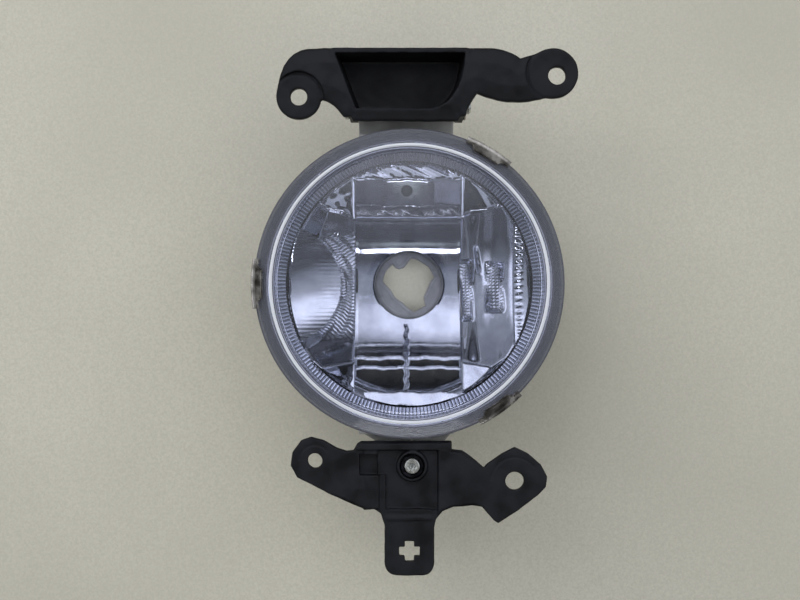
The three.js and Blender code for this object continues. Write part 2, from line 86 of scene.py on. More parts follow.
lens_low, lens_high = box_mm("lens")
upper_low, upper_high = box_mm("upper_bracket")
lower_low, _ = box_mm("lower_bracket")
screw_low, screw_high = box_mm("aiming_screw")
screw_x, screw_z = (screw_low[0] + screw_high[0]) / 2, (screw_low[2] + screw_high[2]) / 2
lens_radius = lens_high[2]
PIVOT_Y, PIVOT_Z = 22.0, 61.0
PIVOT = (0, PIVOT_Y, PIVOT_Z)
print("lens radius %.2f mm, screw axis at x %.2f z %.2f" % (lens_radius, screw_x, screw_z))

# %% [markdown]
# The camera looks straight along +Y at the front of the lamp from half a metre, so the brackets show no sides.
# A long lens keeps the proportions of the drawing.

# %% Camera
camera = bpy.data.objects.new("camera", bpy.data.cameras.new("camera"))
camera.data.sensor_width = 36
camera.data.lens = 68.6
camera.data.clip_start = 0.01
camera.location = (-0.0031, -0.502, -0.00535)
camera.rotation_euler = (math.radians(90), 0, 0)
bpy.context.scene.collection.objects.link(camera)
bpy.context.scene.camera = camera
bpy.context.scene.view_settings.view_transform = "Standard"
print("camera", camera.location[:])

# %% [markdown]
# Colours are written as they look on a screen. A shader works with linear light, so one function turns them.
# Another adds a node with its settings and links, and serves shader trees and geometry trees alike.

# %% Colour and node helpers
def linear(code):
    parts = [int(code[i : i + 2], 16) / 255 for i in (1, 3, 5)]
    return tuple(p / 12.92 if p <= 0.04045 else ((p + 0.055) / 1.055) ** 2.4 for p in parts) + (1.0,)


def add(tree, kind, inputs=(), **settings):
    node = tree.nodes.new(kind)
    for name, value in settings.items():
        setattr(node, name, value)
    for key, value in dict(inputs).items():
        if isinstance(value, bpy.types.NodeSocket):
            tree.links.new(value, node.inputs[key])
        else:
            node.inputs[key].default_value = value
    return node


def new_material(name):
    material = bpy.data.materials.new(name)
    material.use_nodes = True
    material.node_tree.nodes.clear()
    return material, material.node_tree


print("mid grey is", [round(v, 3) for v in linear("#808080")])

# %% [markdown]
# Most of the lamp is moulded plastic or plated steel. Each such finish is one Principled shader with a colour
# that wanders a little, a roughness that wanders with it, and a bump at the scale of its real texture. The
# recipe is the same, so one function holds it; what differs is the numbers.

# %% A recipe for solid finishes
def solid_finish(name, dark, light, rough, patch_mm, grain_mm, grain_height_mm, metallic=0.0, ior=1.5,
                 stretch=(1, 1, 1)):
    material, tree = new_material(name)
    place = add(tree, "ShaderNodeTexCoord").outputs["Object"]
    place = add(tree, "ShaderNodeMapping", {"Vector": place, "Scale": stretch}).outputs["Vector"]
    patches = add(tree, "ShaderNodeTexNoise", {"Vector": place, "Scale": 1 / (patch_mm * MM), "Detail": 3.0})
    grain = add(tree, "ShaderNodeTexNoise", {"Vector": place, "Scale": 1 / (grain_mm * MM), "Detail": 2.0})
    mottle = add(tree, "ShaderNodeMapRange", {"Value": patches.outputs["Fac"], "From Min": 0.34,
                                              "From Max": 0.66}).outputs["Result"]
    colour = add(tree, "ShaderNodeMix", {"Factor": mottle}, data_type="RGBA")
    for side, code in (("A", dark), ("B", light)):
        [s for s in colour.inputs if s.name == side and s.type == "RGBA"][0].default_value = linear(code)
    mixed = [s for s in colour.outputs if s.type == "RGBA"][0]
    gloss = add(tree, "ShaderNodeMapRange", {"Value": mottle, "To Min": rough[0], "To Max": rough[1]})
    bump = add(tree, "ShaderNodeBump", {"Height": grain.outputs["Fac"], "Distance": grain_height_mm * MM,
                                        "Strength": 1.0})
    shader = add(tree, "ShaderNodeBsdfPrincipled", {"Base Color": mixed, "Roughness": gloss.outputs["Result"],
                                                    "Normal": bump.outputs["Normal"], "Metallic": metallic,
                                                    "IOR": ior})
    add(tree, "ShaderNodeOutputMaterial", {"Surface": shader.outputs["BSDF"]})
    return material, tree, shader


print("recipe ready")

# %% [markdown]
# Black talc-filled polypropylene, injection moulded in a spark-eroded tool: nearly black, dull, with a fine
# leathery grain about 0.35 mm across that turns the light grey on its sloping sides. The housing is the same
# plastic in dark grey, smoother, and the socket ring a pale heat-resistant PPS.

# %% Moulded plastics
black_moulding, tree, shader = solid_finish("black_polypropylene_moulded", "#030304", "#15161a", (0.45, 0.66), 8,
                                            0.35, 0.03)
# painted shade: the colour darkens with depth behind the face, over 8 mm, so the deep pocket looks shaded
place = add(tree, "ShaderNodeTexCoord").outputs["Object"]
depth = add(tree, "ShaderNodeSeparateXYZ", {"Vector": place}).outputs["Y"]
painted_pocket_shade = add(tree, "ShaderNodeMapRange", {"Value": depth, "From Min": 1 * MM, "From Max": 9 * MM, "To Min": 1.0,
                                        "To Max": 0.12}).outputs["Result"]
shaded_base_colour = add(tree, "ShaderNodeVectorMath", {0: shader.inputs["Base Color"].links[0].from_socket}, operation="SCALE")
tree.links.new(painted_pocket_shade, shaded_base_colour.inputs["Scale"])
tree.links.new(shaded_base_colour.outputs["Vector"], shader.inputs["Base Color"])
shader.inputs["Specular IOR Level"].default_value = 0.32
grey_moulding, _, _ = solid_finish("grey_polypropylene_housing", "#8b8c8d", "#a6a7a7", (0.34, 0.5), 9, 0.5, 0.02)
socket_moulding, _, _ = solid_finish("pale_pps_socket_moulding", "#c2c4c2", "#dadcd9", (0.25, 0.45), 4, 0.6, 0.02)
nylon_moulding, _, _ = solid_finish("natural_nylon_moulding", "#cfccbe", "#e2dfd3", (0.35, 0.5), 3, 0.5, 0.01)
print("plastics made")

# %% [markdown]
# The seal and the vent elbow are EPDM rubber, dull with a dusty bloom. The clips are cold-rolled spring steel
# with rolling lines along their length, and the screw and pin are zinc-plated steel, slightly mottled by the
# passivation. The filter is open-cell foam with cells about 0.6 mm across.

# %% Rubber, steels and foam
rubber, _, _ = solid_finish("epdm_rubber_moulded", "#131415", "#222324", (0.6, 0.85), 5, 0.4, 0.02)
spring_steel, _, _ = solid_finish("spring_steel_rolled", "#6f6a62", "#cbc6bc", (0.15, 0.32), 4, 0.25, 0.006, 0.93,
                                  stretch=(1, 0.3, 1))
black_steel, _, _ = solid_finish("blackened_spring_steel", "#141416", "#2c2c30", (0.3, 0.5), 2, 0.3, 0.01, 1.0)
zinc_steel, _, _ = solid_finish("zinc_plated_steel", "#c4c6c2", "#e6e8e4", (0.12, 0.26), 1.5, 0.3, 0.003, 0.75)
foam, _, _ = solid_finish("open_cell_foam", "#1c1d1f", "#3b3c3e", (0.85, 1.0), 2, 0.6, 0.25)
print("metals, rubber and foam made")

# %% [markdown]
# The reflector is a plastic shell with aluminium evaporated onto it. The coat is a true mirror, slightly
# violet under its clear lacquer, and the shell's own waviness, a few millimetres across, bends what it shows.

# %% Vacuum-metallised coat
mirror_coat, tree, shader = solid_finish("aluminised_lacquered_coat", "#c9cbd3", "#e0e2e9", (0.03, 0.08), 6, 3.2,
                                         0.012, 1.0)
shader.inputs["Coat Weight"].default_value = 0.3
shader.inputs["Coat Roughness"].default_value = 0.05
print("mirror coat made")

# %% [markdown]
# The lens is clear polycarbonate, IOR 1.58, with a hard coat. A glass shader alone would throw a black shadow
# into the lamp, because light from a lamp can't find its way through a refracting wall. So a shadow ray meets
# a faintly tinted transparent shader instead. The bead and the skirt behind it carry a painted highlight: a mask
# by the distance from the axis mixes a pale milky diffuse into the glass there, in place of the bright internal
# reflection of the clear bead.

# %% Clear polycarbonate
BEAD_RADIUS = 45.3


def clear_lens_material():
    material, tree = new_material("clear_polycarbonate_lens")
    place = add(tree, "ShaderNodeTexCoord").outputs["Object"]
    flat = add(tree, "ShaderNodeVectorMath", {0: place, 1: (1, 0, 1)}, operation="MULTIPLY").outputs["Vector"]
    radius = add(tree, "ShaderNodeVectorMath", {0: flat}, operation="LENGTH").outputs["Value"]
    haze = add(tree, "ShaderNodeTexNoise", {"Vector": place, "Scale": 1 / (9 * MM), "Detail": 1.0})
    gloss = add(tree, "ShaderNodeMapRange", {"Value": haze.outputs["Fac"], "To Min": 0.0, "To Max": 0.035})
    ripple = add(tree, "ShaderNodeBump", {"Height": haze.outputs["Fac"], "Distance": 0.008 * MM, "Strength": 1.0})
    clear = add(tree, "ShaderNodeBsdfPrincipled", {
        "Base Color": linear("#f3f5fb"), "Roughness": gloss.outputs["Result"], "IOR": 1.58,
        "Transmission Weight": 1.0, "Normal": ripple.outputs["Normal"]})
    bead_highlight_shader = add(tree, "ShaderNodeBsdfPrincipled", {"Base Color": linear("#e0e5ee"), "Roughness": 0.12, "IOR": 1.58})
    # painted highlight: the bead is milky within 0.42 mm of its middle and clear again at 0.66 mm
    band = add(tree, "ShaderNodeMath", {0: radius, 1: BEAD_RADIUS * MM}, operation="SUBTRACT").outputs[0]
    band = add(tree, "ShaderNodeMath", {0: band}, operation="ABSOLUTE").outputs[0]
    bead_highlight_mask = add(tree, "ShaderNodeMapRange", {"Value": band, "From Min": 0.42 * MM, "From Max": 0.66 * MM,
                                            "To Min": 0.8, "To Max": 0.0})
    # the flange is rougher moulding, smoky where the rim behind it shows through
    smoky = add(tree, "ShaderNodeBsdfPrincipled", {"Base Color": linear("#55575f"), "Roughness": 0.3, "IOR": 1.58})
    outer = add(tree, "ShaderNodeMapRange", {"Value": radius, "From Min": 46.4 * MM, "From Max": 46.9 * MM,
                                             "To Min": 0.0, "To Max": 0.5})
    flange = add(tree, "ShaderNodeMixShader", {0: outer.outputs["Result"], 1: clear.outputs["BSDF"],
                                               2: smoky.outputs["BSDF"]})
    body = add(tree, "ShaderNodeMixShader", {0: bead_highlight_mask.outputs["Result"], 1: flange.outputs["Shader"],
                                             2: bead_highlight_shader.outputs["BSDF"]})
    see_through = add(tree, "ShaderNodeBsdfTransparent", {"Color": linear("#eeeef6")})
    is_shadow = add(tree, "ShaderNodeLightPath").outputs["Is Shadow Ray"]
    both = add(tree, "ShaderNodeMixShader", {0: is_shadow, 1: body.outputs["Shader"],
                                             2: see_through.outputs["BSDF"]})
    add(tree, "ShaderNodeOutputMaterial", {"Surface": both.outputs["Shader"]})
    return material


clear_plastic = clear_lens_material()
print("lens material made")

# %% [markdown]
# The lamp lies on a pale laminate top. In the lamp's own frame that is an upright sheet just behind it, lit
# from the front. Seen from behind it would hide the lamp, so its shader turns transparent on its back.

# %% Backdrop and floor
def stage_sheet(name, corners, dark, light):
    material, tree = new_material(name)
    place = add(tree, "ShaderNodeTexCoord").outputs["Object"]
    cloud = add(tree, "ShaderNodeTexNoise", {"Vector": place, "Scale": 9.0, "Detail": 2.0})
    speck = add(tree, "ShaderNodeTexNoise", {"Vector": place, "Scale": 1400.0, "Detail": 2.0})
    blend = add(tree, "ShaderNodeMath", {0: cloud.outputs["Fac"], 1: speck.outputs["Fac"], 2: 0.0},
                operation="MULTIPLY_ADD")
    tone = add(tree, "ShaderNodeValToRGB", {"Fac": blend.outputs[0]})
    tone.color_ramp.elements[0].color, tone.color_ramp.elements[1].color = linear(dark), linear(light)
    tone.color_ramp.elements[0].position, tone.color_ramp.elements[1].position = 0.1, 0.4
    bump = add(tree, "ShaderNodeBump", {"Height": speck.outputs["Fac"], "Distance": 0.00003, "Strength": 0.6})
    paint = add(tree, "ShaderNodeBsdfPrincipled", {"Base Color": tone.outputs["Color"], "Roughness": 0.5,
                                                   "Normal": bump.outputs["Normal"]})
    gone = add(tree, "ShaderNodeBsdfTransparent")
    back = add(tree, "ShaderNodeNewGeometry").outputs["Backfacing"]
    both = add(tree, "ShaderNodeMixShader", {0: back, 1: paint.outputs["BSDF"], 2: gone.outputs["BSDF"]})
    add(tree, "ShaderNodeOutputMaterial", {"Surface": both.outputs["Shader"]})
    mesh = bpy.data.meshes.new(name)
    mesh.from_pydata(corners, [], [(0, 1, 2, 3)])
    mesh.materials.append(material)
    sheet = bpy.data.objects.new(name, mesh)
    bpy.context.scene.collection.objects.link(sheet)
    return sheet


table_y = cad_box[1][1] + 0.008
floor_z = cad_box[0][2] - 0.03
stage_sheet("pale_table_top", [(-3, table_y, floor_z), (3, table_y, floor_z), (3, table_y, 3), (-3, table_y, 3)],
            "#b2b0a4", "#c3c1b5")
floor = stage_sheet("pale_floor", [(-6, -6, floor_z), (6, -6, floor_z), (6, 6, floor_z), (-6, 6, floor_z)],
                    "#b2b0a4", "#c3c1b5")
# the mirror sees the room below, as it would on a table top
floor.visible_glossy = floor.visible_transmission = floor.visible_shadow = False
print("table at y %.4f, floor at z %.4f" % (table_y, floor_z))

# %% [markdown]
# The dull surfaces need wide soft light, or they would look hard and flat. An area light gives that. A mirror
# shows such a light as a plain rectangle with hard edges, so the two big ones are hidden from reflections. A
# small one lights the table behind the bulb port, because the housing keeps all other light out of it.

# %% Area lights
def panel_light(name, place, width, height, watts, code, aim=(0, 0, 0)):
    data = bpy.data.lights.new(name, "AREA")
    data.shape, data.size, data.size_y = "RECTANGLE", width, height
    data.energy, data.color = watts, linear(code)[:3]
    lamp = bpy.data.objects.new(name, data)
    lamp.location = place
    lamp.visible_camera = False
    lamp.rotation_euler = (Vector(aim) - Vector(place)).to_track_quat("-Z", "Y").to_euler()
    bpy.context.scene.collection.objects.link(lamp)
    return lamp


key = panel_light("soft_light_upper_left", (-0.7, -0.95, 0.85), 1.5, 1.2, 12, "#fffdfa")
fill = panel_light("soft_light_front", (0.3, -1.3, 0.05), 2.0, 1.2, 10, "#fffefb")
for lamp in (key, fill):  # the mirror shows the cards below instead, which have soft edges
    lamp.visible_glossy = lamp.visible_transmission = False
panel_light("light_behind_port", (0.0, table_y - 0.0035, 0.0), 0.016, 0.016, 0.0006, "#ffffff", aim=(0, 1, 0))

# %% [markdown]
# What the reflector shows is a window, some tubes and the walls. They are glowing cards whose light fades to
# nothing at the edges, seen by reflections only. The bowl turns what is low in front of it into its upper
# half. So one long tube hangs low and draws the white bar above the port, and the window stands high and
# fills the field below it.

# %% Glowing cards for the mirror
def glow_card(name, place, width, height, strength, code, softness):
    """A glowing card with soft edges that only a mirror or a gloss sees."""
    material, tree = new_material(name)
    spot = add(tree, "ShaderNodeTexCoord").outputs["Object"]
    facing = (Vector((0, 0, 0)) - Vector(place)).to_track_quat("Z", "Y")
    side, rise = facing @ Vector((1, 0, 0)), facing @ Vector((0, 1, 0))
    reach = 1.0
    for axis, half in ((side, width / 2), (rise, height / 2)):
        along = add(tree, "ShaderNodeVectorMath", {0: spot, 1: tuple(axis)},
                    operation="DOT_PRODUCT").outputs["Value"]
        along = add(tree, "ShaderNodeMath", {0: along, 1: Vector(place).dot(axis)}, operation="SUBTRACT").outputs[0]
        along = add(tree, "ShaderNodeMath", {0: along}, operation="ABSOLUTE").outputs[0]
        edge = add(tree, "ShaderNodeMapRange", {"Value": along, "From Min": half * (1 - softness), "From Max": half,
                                                "To Min": 1.0, "To Max": 0.0},
                   interpolation_type="SMOOTHSTEP").outputs["Result"]
        reach = add(tree, "ShaderNodeMath", {0: edge, 1: reach}, operation="MULTIPLY").outputs[0]
    glow = add(tree, "ShaderNodeEmission", {"Color": linear(code), "Strength": strength})
    clear = add(tree, "ShaderNodeBsdfTransparent")
    both = add(tree, "ShaderNodeMixShader", {0: reach, 1: clear.outputs["BSDF"], 2: glow.outputs["Emission"]})
    add(tree, "ShaderNodeOutputMaterial", {"Surface": both.outputs["Shader"]})
    signs = ((-1, -1), (1, -1), (1, 1), (-1, 1))
    corners = [Vector(place) + side * width / 2 * a + rise * height / 2 * b for a, b in signs]
    mesh = bpy.data.meshes.new(name)
    mesh.from_pydata([tuple(c) for c in corners], [], [(0, 1, 2, 3)])
    mesh.materials.append(material)
    card = bpy.data.objects.new(name, mesh)
    bpy.context.scene.collection.objects.link(card)
    card.visible_camera = card.visible_diffuse = card.visible_shadow = False


glow_card("window_glow", (-0.1, -0.85, 0.74), 1.7, 1.3, 1.7, "#eef1ff", 0.8)
glow_card("tube_glow_low", (0.0, -0.82, -0.665), 0.8, 0.09, 6.0, "#f6f8ff", 0.25)
glow_card("tube_glow_far", (0.0, -0.82, -0.84), 1.0, 0.13, 0.5, "#e9f3ee", 0.9)
glow_card("tall_glow_right", (1.0, -0.95, 0.0), 0.5, 1.5, 1.7, "#eef1ff", 0.6)
glow_card("tall_glow_left", (-1.05, -0.9, 0.1), 0.5, 1.5, 1.6, "#eef1ff", 0.6)

# %% [markdown]
# The room itself is brightest a little above the horizon, where its walls are, and darker overhead and below.

# %% Room
world = bpy.data.worlds.new("dim_room")
world.use_nodes = True
tree = world.node_tree
outward = add(tree, "ShaderNodeTexCoord").outputs["Generated"]
upward = add(tree, "ShaderNodeSeparateXYZ", {"Vector": outward}).outputs["Z"]
height = add(tree, "ShaderNodeMapRange", {"Value": upward, "From Min": -1.0, "From Max": 1.0})
tones = add(tree, "ShaderNodeValToRGB", {"Fac": height.outputs["Result"]})
for place, code in ((0.30, "#404247"), (0.45, "#a0a5af"), (0.60, "#bcc1cb"), (0.78, "#a4a8b2")):
    tones.color_ramp.elements.new(place).color = linear(code)
tones.color_ramp.elements[0].color = tones.color_ramp.elements[-1].color = linear("#37383c")
tree.links.new(tones.outputs["Color"], tree.nodes["Background"].inputs["Color"])
tree.nodes["Background"].inputs["Strength"].default_value = 1.0
bpy.context.scene.world = world
print("room made with", len(tones.color_ramp.elements), "tones")

# %% [markdown]
# Someone stands at the camera, and every flat facet shows them as a dark shape. An oval of dark cloth stands in
# for them, and only reflections see it.

# %% A dark oval behind the camera
card_material, tree = new_material("dark_cloth")
cloth = add(tree, "ShaderNodeBsdfDiffuse", {"Color": linear("#26272b")})
add(tree, "ShaderNodeOutputMaterial", {"Surface": cloth.outputs["BSDF"]})
OVAL_CORNERS, OVAL_HALF_WIDTH, OVAL_HALF_HEIGHT = 48, 0.12, 0.17
OVAL_Y, OVAL_Z = -0.62, -0.05
turns = [2 * math.pi * i / OVAL_CORNERS for i in range(OVAL_CORNERS)]
mesh = bpy.data.meshes.new("dark_oval")
mesh.from_pydata([(OVAL_HALF_WIDTH * math.cos(t), OVAL_Y, OVAL_Z + OVAL_HALF_HEIGHT * math.sin(t)) for t in turns],
                 [], [tuple(range(OVAL_CORNERS))[::-1]])
mesh.materials.append(card_material)
card = bpy.data.objects.new("dark_oval", mesh)
bpy.context.scene.collection.objects.link(card)
card.visible_camera = card.visible_diffuse = card.visible_shadow = False
print("dark oval placed at y %.2f m" % OVAL_Y)

# %% [markdown]
# Every piece ends the same way: points in millimetres become a mesh in metres, its faces are smoothed except
# across real edges, and it is tied to its CAD body. One function does it, so no piece is forgotten.

# %% Finish a piece
def piece(name, points, faces, material, body, stands_for=(), edge_angle=38, outward=False):
    mesh = bpy.data.meshes.new(name)
    mesh.from_pydata((np.asarray(points, float) * MM).tolist(), [], [tuple(int(i) for i in f) for f in faces])
    if outward:
        shape = bmesh.new()
        shape.from_mesh(mesh)
        bmesh.ops.remove_doubles(shape, verts=shape.verts, dist=1e-7)
        bmesh.ops.recalc_face_normals(shape, faces=shape.faces)
        shape.to_mesh(mesh)
        shape.free()
    mesh.materials.append(material)
    mesh.shade_smooth()
    mesh.set_sharp_from_angle(angle=math.radians(edge_angle))
    made = bpy.data.objects.new(name, mesh)
    bpy.context.scene.collection.objects.link(made)
    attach(made, body)
    if stands_for:
        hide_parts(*stands_for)
    print("%s: %d faces" % (name, len(mesh.polygons)))


# %% [markdown]
# Round parts such as the lens, the washers and the pin heads are turned: a closed profile of (radius, place
# along the axis) swept round. A point on the axis becomes one pole, so the shell stays closed.

# %% Turn a profile
def turned(profile, sides, centre=(0, 0, 0), axis="Y"):
    points, rings, faces = [], [], []
    for r, along in profile:
        if r < 1e-6:
            rings.append([len(points)] * sides)
            points.append((0, along, 0))
            continue
        rings.append(list(range(len(points), len(points) + sides)))
        for i in range(sides):
            a = 2 * math.pi * i / sides
            points.append((r * math.cos(a), along, r * math.sin(a)))
    for k in range(len(profile)):
        one, two = rings[k], rings[(k + 1) % len(profile)]
        if one[0] == one[-1] and two[0] == two[-1]:
            continue
        for i in range(sides):
            j = (i + 1) % sides
            corners = [one[i], one[j], two[j], two[i]]
            faces.append([c for n, c in enumerate(corners) if c not in corners[:n]])
    points = np.array(points, float)
    if axis == "X":
        points = points[:, [1, 0, 2]]
    return points + np.array(centre, float), faces


def together(*shapes):
    points, faces, start = [], [], 0
    for p, f in shapes:
        points.append(np.asarray(p, float))
        faces += [[i + start for i in face] for face in f]
        start += len(p)
    return np.vstack(points), faces


print("turning helper ready")

# %% [markdown]
# The lens is one moulding: a thin crowned window, a bead round it that stands a little proud, a flat flange
# with fine concentric rings left by the cutter that made the tool, and a skirt that locates it in the housing.
# It is a shape of revolution, so it is turned from a profile with enough points to keep the crown smooth.

# %% Lens
def lens_profile():
    front, back = -2.0, 1.0
    crown = [(r, lens_low[1] + 4.55 * (r / 44.0) ** 2) for r in np.linspace(0, 44.0, 30)]
    bead = [(44.5, -5.3), (44.75, -5.75), (45.2, -6.0), (45.7, -5.9), (46.1, -5.4), (46.3, -4.2),
            (46.4, front - 0.5)]
    rings = []
    for n in range(9):
        r = 46.9 + n * 0.42
        rings += [(r, front - 0.03), (r + 0.21, front + 0.03)]
    rim = [(50.6, front + 0.02), (50.9, front + 0.25), (51.0, front + 0.6), (51.0, back - 0.35), (50.75, back)]
    skirt = [(46.4, back), (46.4, 4.7), (46.2, 5.0), (44.6, 5.0), (44.4, 4.7), (44.4, -1.4)]
    inner = [(r, lens_low[1] + 3.0 + 5.2 * (r / 44.0) ** 2) for r in np.linspace(43.9, 0, 28)]
    return crown + bead + rings + rim + skirt + inner


points, faces = turned(lens_profile(), 256)
piece("clear_lens", points, faces, clear_plastic, "lamp_unit", ("lens",), 30, outward=True)

# %% [markdown]
# The reflector isn't one smooth bowl. It is a paraboloid cut into fields: an upright strip of stacked facets
# in the middle, a chamber at each side with a smooth dish and wavy flutes, and flatter shelves above and below.
# Each field is a height, the depth y as a function of x and z, over an area with its own outline. A grid of
# squares whose edge points slide onto the outline gives clean edges and exact slopes, which a mirror needs,
# where a voxel or boolean surface would show every facet.

# %% Fields of the reflector
FOCAL, VERTEX, PORT = 14.0, 42.07, 12.2


def bowl(x, z):
    return VERTEX - (x**2 + z**2) / (4 * FOCAL)


def field(xs, zs, room, height, thick=1.6):
    X, Z = np.meshgrid(xs, zs, indexing="ij")
    reach = 0.55 * max(np.diff(xs).mean(), np.diff(zs).mean())
    e = 1e-3
    for _ in range(4):
        d = room(X, Z)
        gx = (room(X + e, Z) - room(X - e, Z)) / (2 * e)
        gz = (room(X, Z + e) - room(X, Z - e)) / (2 * e)
        g2 = np.maximum(gx**2 + gz**2, 0.2)
        near = np.abs(d) < reach * np.sqrt(g2)
        X, Z = np.where(near, X - d * gx / g2, X), np.where(near, Z - d * gz / g2, Z)
    mid = lambda A: (A[:-1, :-1] + A[1:, :-1] + A[1:, 1:] + A[:-1, 1:]) / 4
    keep = room(mid(X), mid(Z)) > 0
    index = np.arange(X.size).reshape(X.shape)
    quads = np.stack([index[:-1, :-1], index[1:, :-1], index[1:, 1:], index[:-1, 1:]], -1)[keep]
    used, quads = np.unique(quads, return_inverse=True)
    quads = quads.reshape(-1, 4)
    x, z = X.ravel()[used], Z.ravel()[used]
    front = np.stack([x, height(x, z), z], -1)
    back = np.stack([x, np.maximum(front[:, 1] + 0.4, bowl(x, z) + thick), z], -1)
    n = len(used)
    edges = np.vstack([quads[:, [k, (k + 1) % 4]] for k in range(4)])
    key = edges.min(1) * (n + 1) + edges.max(1)
    values, first, count = np.unique(key, return_index=True, return_counts=True)
    rim = edges[first[count == 1]]
    walls = np.stack([rim[:, 1], rim[:, 0], rim[:, 0] + n, rim[:, 1] + n], -1)
    faces = np.vstack([quads, quads[:, ::-1] + n, walls])
    return np.vstack([front, back]), faces.tolist()


def rounded_over(x, z, room, depth=0.35, width=0.45):
    """A moulded edge rolls away over its last half millimetre."""
    return depth * np.exp(-np.maximum(room(x, z), 0) / width)


def wander(t, seed, waves=((0.31, 1.0), (0.83, 0.5), (1.9, 0.22))):
    rng = np.random.default_rng(seed)
    return sum(a * np.sin(f * t + rng.uniform(0, 6.28)) for f, a in waves)


steps = lambda low, high, step: np.linspace(low, high, max(2, int(round((high - low) / step)) + 1))
print("field helper ready; bowl depth at its port %.1f mm" % bowl(PORT, 0))

# %% [markdown]
# The middle strip has seven facets stacked from top to bottom. The tall one round the port follows the
# paraboloid. The others tilt away from it, so each shows one part of the room as a flat tone. The port is cut
# through the tall one, and a small breather hole through the one near the top.

# %% Middle strip
STRIP_LEFT, STRIP_RIGHT, RING_RADIUS = -18.5, 17.8, 41.0


def trough(x, z):
    """The strip bends strongly from top to bottom and only a little across, so lights draw level bars in it."""
    return 37.4 - z**2 / 66 - 0.006 * x**2


def strip_field(low, high, height, step=0.3):
    ring = lambda x, z: RING_RADIUS - np.hypot(x, z)
    ragged = lambda x, edge: edge + 0.2 * wander(1.7 * x, int(10 * abs(edge))) * (abs(edge) > 23)
    sides = lambda x, z: np.minimum(np.minimum(x - STRIP_LEFT, STRIP_RIGHT - x),
                                    np.minimum(z - ragged(x, low), ragged(x, high) - z))
    port = lambda x, z: np.hypot(x, z) - PORT
    breather = lambda x, z: np.hypot(x + 0.8, z - 32.0) - 2.0
    room = lambda x, z: np.minimum(np.minimum(ring(x, z), sides(x, z)), np.minimum(port(x, z), breather(x, z)))
    rolled = lambda x, z: height(x, z) + rounded_over(x, z, sides, 0.12, 0.25)
    return field(steps(STRIP_LEFT, STRIP_RIGHT, 1.2 * step), steps(low - 0.5, min(high + 0.5, 41.5), step), room,
                 rolled)


seam = lambda x, z: 0.5 * np.exp(-(((x + 0.9 + 0.25 * np.sin(z * 1.7)) / 0.38) ** 2)) * (z < -14)
strip = [
    strip_field(35.6, 41.0, lambda x, z: (13.9 + 0.05 * (z - 35.6) + 0.06 * wander(x * 1.6, 3)
                                          + 0.07 * wander(x + 2 * z, 4))),
    strip_field(27.0, 35.6, lambda x, z: 22.0 - 0.50 * (z - 27.0) - 0.014 * x**2 + 0.02 * wander(1.4 * x, 5), 0.18),
    strip_field(22.8, 27.0, lambda x, z: 25.6 - 0.72 * (z - 22.8) - 0.008 * x**2 + 0.03 * wander(x + z, 6)),
    strip_field(-25.6, 22.8, lambda x, z: trough(x, z) + 0.012 * wander(0.9 * x, 7) + seam(x, z)),
    strip_field(-28.6, -25.6, lambda x, z: (24.2 + 0.06 * (z + 25.6) + 0.02 * wander(1.9 * x, 8)
                                            - 0.001 * x**2 + seam(x, z))),
    strip_field(-36.7, -28.6, lambda x, z: (20.6 + 0.09 * (z + 28.6) + 0.012 * np.sin(x * 5.2) * (x < 0)
                                            + 0.02 * wander(1.2 * x, 9) - 0.0015 * x**2 + seam(x, z))),
    strip_field(-41.0, -36.7, lambda x, z: 15.4 + 0.44 * (z + 36.7) - 0.12 * x * 0.5 + 0.05 * wander(1.3 * x, 10)),
]
points, faces = together(*strip)
piece("reflector_middle_strip", points, faces, mirror_coat, "lamp_unit", ("reflector",), 30)
# painted shade: a dark rubber disc just behind the breather hole stands in for the shade inside the hole
points, faces = turned([(0, 20.2), (1.85, 20.2), (1.85, 21.2), (0, 21.2)], 32, (-0.8, 0, 32.0))
piece("breather_hole_shade_disc", points, faces, rubber, "lamp_unit", (), outward=True)

# %% [markdown]
# Each chamber is bounded by the strip, the fluted ring and two ragged edges. Inside it a round dish meets a fan
# of wavy flutes 1.15 mm apart, which spread the beam sideways. The flutes run out from the dish's middle, so
# their height follows the angle about that point. The grid is finer along z, where the flutes change quickly.

# %% Side chambers
FLUTE_PITCH = 1.15
left_top = lambda x: np.interp(x, [-42, -35.2, -30.5, -27.7, -21.9, -18.2], [20.0, 23.5, 27.0, 25.3, 24.3, 21.2])
right_top = lambda x: np.interp(x, [17.5, 21, 26, 32.8, 36, 42], [22.4, 24.5, 24.8, 27.0, 24.0, 20.0])
left_low = lambda x: np.interp(x, [-42, -34, -29, -18.5], [-19.0, -24.0, -28.0, -26.5])
right_low = lambda x: np.interp(x, [17.5, 28, 34, 42], [-26.5, -28.0, -24.0, -19.0])


def fluted(distance, wobble, strength):
    return strength * np.sin(2 * math.pi * distance / FLUTE_PITCH + wobble)


def left_height(x, z):
    cx, cz, radius = -43.1, -0.5, 20.0
    far = np.hypot(x - cx, z - cz)
    turn = np.arctan2(z - cz, x - cx)
    creases = 0.014 * np.sin(z * 4.6) * np.clip((far - 12) / 3, 0, 1)
    dish = 14.4 + 0.22 * (x + 41) - 0.021 * z**2 + 0.0126 * (x + 36) * z + creases
    wobble = 1.6 * np.sin(far * 1.1) + 0.8 * np.sin(far * 2.3 + turn * 9)
    flutes = fluted(turn * 24.0, wobble, 0.12) * np.clip((19 - np.abs(z)) / 3, 0, 1)
    fan = 27.0 + 0.35 * (x + 18.5) - z**2 / 60 + 0.2 * z + flutes
    return np.where(far < radius, dish, np.minimum(fan, bowl(x, z) + 1.0))


